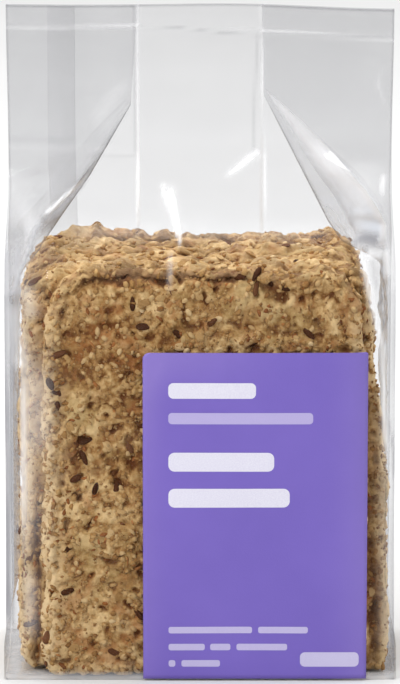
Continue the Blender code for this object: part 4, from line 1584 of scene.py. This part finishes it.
def make_label(material):
    """The paper label, a thin sheet with a cut edge that follows the front panel."""
    round_z = LABEL_HIGH.z - LABEL_ROUND_LEFT
    rows = spaced(LABEL_LOW.z, round_z, LABEL_ROW)
    turns = quarter_turns(LABEL_ROUND_ROWS)[1:]
    rows += [round_z + LABEL_ROUND_LEFT * math.sin(turn) for turn in turns]
    columns = spaced(0.0, 1.0, 1.0 / LABEL_COLUMNS)
    points, sheens = [], []
    for z in rows:
        left = label_edge(LABEL_LOW.x, LABEL_ROUND_LEFT, 1.0, z)
        right = label_edge(LABEL_HIGH.x, LABEL_ROUND_RIGHT, -1.0, z)
        for share in columns:
            x = left + (right - left) * share
            points.append(front_point(x, z, LABEL_GAP))
            sheens.append(label_sheen(x, z))
    faces = grid_faces(len(columns), len(rows))
    label = new_piece("paper_label", points, faces, material, "label_paper", pale=sheens)
    sheet = label.modifiers.new("paper", "SOLIDIFY")
    sheet.thickness = PAPER
    sheet.offset = 1.0
    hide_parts("label")


# The print: rounded bars as left, right, low and high in millimetres, which stand for lines of
# words, and how faint each one is
PRINT_BARS = (
    (-9.3, 16.4, 85.9, 90.6, 0.0),
    (-9.3, 33.2, 78.2, 81.6, 0.75),
    (-9.3, 21.8, 63.9, 69.6, 0.0),
    (-9.3, 26.4, 53.0, 58.7, 0.0),
    (-9.3, 15.4, 14.6, 16.6, 0.6),
    (17.2, 31.9, 14.6, 16.6, 0.6),
    (-9.3, 1.4, 9.4, 11.4, 0.6),
    (3.0, 9.0, 9.4, 11.4, 0.6),
    (10.8, 25.8, 9.4, 11.4, 0.6),
    (-9.3, -7.3, 4.4, 6.4, 0.6),
    (-5.5, 5.9, 4.4, 6.4, 0.6),
    (29.6, 47.0, 4.4, 8.8, 0.45),
)
BAR_ROUND = 0.32
BAR_ROUND_COLUMNS = 5
BAR_STEP = 1.2 * MM
BAR_ROWS = (0.0, 0.33, 0.67, 1.0)


def print_bar(points, faces, bar):
    """Adds one rounded bar of ink, which follows the label."""
    left, right, low, high = (value * MM for value in bar[:4])
    radius = (high - low) * BAR_ROUND
    turns = quarter_turns(BAR_ROUND_COLUMNS)
    columns = [left + radius - radius * math.cos(turn) for turn in turns[:-1]]
    columns += spaced(left + radius, right - radius, BAR_STEP)
    columns += [right - radius + radius * math.sin(turn) for turn in turns[1:]]
    start = len(points)
    for x in columns:
        near = max(0.0, left + radius - x, x - (right - radius))
        inset = radius - math.sqrt(max(0.0, radius * radius - near * near))
        for share in BAR_ROWS:
            z = low + inset + (high - low - 2.0 * inset) * share
            points.append(front_point(x, z, LABEL_GAP + PAPER + PRINT_LIFT))
    faces += grid_faces(len(BAR_ROWS), len(columns), start, flipped=True)


def make_print(material):
    """All the ink on the label as one piece."""
    points, faces, faints = [], [], []
    for bar in PRINT_BARS:
        print_bar(points, faces, bar)
        faints += [bar[4]] * (len(points) - len(faints))
    ink = new_piece("label_print", points, faces, material, "label_print", faint=faints)
    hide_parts("label")


# Studio, in metres

CAMERA_HEIGHT_ANGLE = math.radians(12.5)
CAMERA_DISTANCE = 1.6
AIM_Z = 96.4 * MM
LENS_FOR_FRAME = 5370.0 / 400.0
SENSOR = 36.0
FLOOR_RADIUS = 8.0
SURROUND_STRENGTH = 0.5

# Softboxes: place, the point each one faces, width, height, and how bright it is to look at
SOFTBOXES = {
    "overhead_softbox": ((-0.05, -0.44, 1.30), (-0.05, -0.30, 0.0), 0.80, 0.80, 2.6),
    "back_softbox": ((0.0, 0.62, 1.25), (0.0, 0.55, 0.0), 1.9, 1.9, 2.2),
    "key_softbox": ((-0.75, -0.95, 0.95), (0.0, 0.0, 0.09), 0.42, 0.42, 17.0),
    "left_softbox": ((-1.2, 0.25, 0.5), (0.0, 0.0, 0.1), 0.35, 0.9, 3.0),
    "right_softbox": ((1.2, 0.25, 0.5), (0.0, 0.0, 0.1), 0.35, 0.9, 3.0),
}


def soft_light(name, place, aim, width, height, radiance):
    """A rectangular softbox that faces a point."""
    data = bpy.data.lights.new(name, "AREA")
    data.shape = "RECTANGLE"
    data.size = width
    data.size_y = height
    data.energy = radiance * math.pi * data.size * data.size_y
    lamp = bpy.data.objects.new(name, data)
    bpy.context.scene.collection.objects.link(lamp)
    lamp.location = place
    lamp.rotation_euler = (Vector(aim) - Vector(place)).to_track_quat("-Z", "Y").to_euler()
    lamp.visible_camera = False


def make_camera():
    """The camera, above the pack's front, with a lens that gives the photo's frame."""
    data = bpy.data.cameras.new("camera")
    camera = bpy.data.objects.new("camera", data)
    bpy.context.scene.collection.objects.link(camera)
    data.sensor_fit = "HORIZONTAL"
    data.sensor_width = SENSOR
    data.lens = LENS_FOR_FRAME * SENSOR
    data.clip_start = 0.05
    data.clip_end = 50.0
    away = CAMERA_DISTANCE * math.cos(CAMERA_HEIGHT_ANGLE)
    above = CAMERA_DISTANCE * math.sin(CAMERA_HEIGHT_ANGLE)
    camera.location = (0.0, -away, AIM_Z + above)
    camera.rotation_euler = (QUARTER_TURN - CAMERA_HEIGHT_ANGLE, 0.0, 0.0)
    bpy.context.scene.camera = camera


def make_studio():
    """Pale floor, soft lights, pale surroundings and the camera."""
    bpy.ops.mesh.primitive_circle_add(vertices=96, radius=FLOOR_RADIUS, fill_type="NGON")
    floor = bpy.context.object
    floor.name = "floor"
    floor.data.materials.append(studio_finish())
    for name, softbox in SOFTBOXES.items():
        soft_light(name, *softbox)
    world = bpy.data.worlds.new("studio")
    bpy.context.scene.world = world
    world.use_nodes = True
    background = world.node_tree.nodes["Background"]
    background.inputs["Color"].default_value = (1.0, 1.0, 1.0, 1.0)
    background.inputs["Strength"].default_value = SURROUND_STRENGTH
    make_camera()
    bpy.context.scene.view_settings.view_transform = "Standard"


def make_pack():
    """Builds every piece of the pack in place of the frame's solids."""
    film = film_finish("clear_film", FILM_TINT)
    thin_film = film_finish("thin_clear_film", THIN_FILM_TINT)
    dough = crumb_finish()
    crackers = [make_cracker(i, sides, dough) for i, sides in enumerate(cracker_sides())]
    points, faces = [], []
    for piece in crackers:
        start = len(points)
        points += [v.co.copy() for v in piece.data.vertices]
        for face in piece.data.polygons:
            faces.append(tuple(start + corner for corner in face.vertices))
    make_seeds(BVHTree.FromPolygons(points, faces))
    films = [
        film_panel("film_front", False, film),
        film_panel("film_back", True, film),
        film_seam(thin_film),
        film_gusset("film_gusset_left", -1, thin_film),
        film_gusset("film_gusset_right", 1, thin_film),
        film_base(film),
    ]
    for piece in films + crackers:
        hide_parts("bag")
    make_label(paper_finish())
    make_print(print_finish())


make_pack()
make_studio()
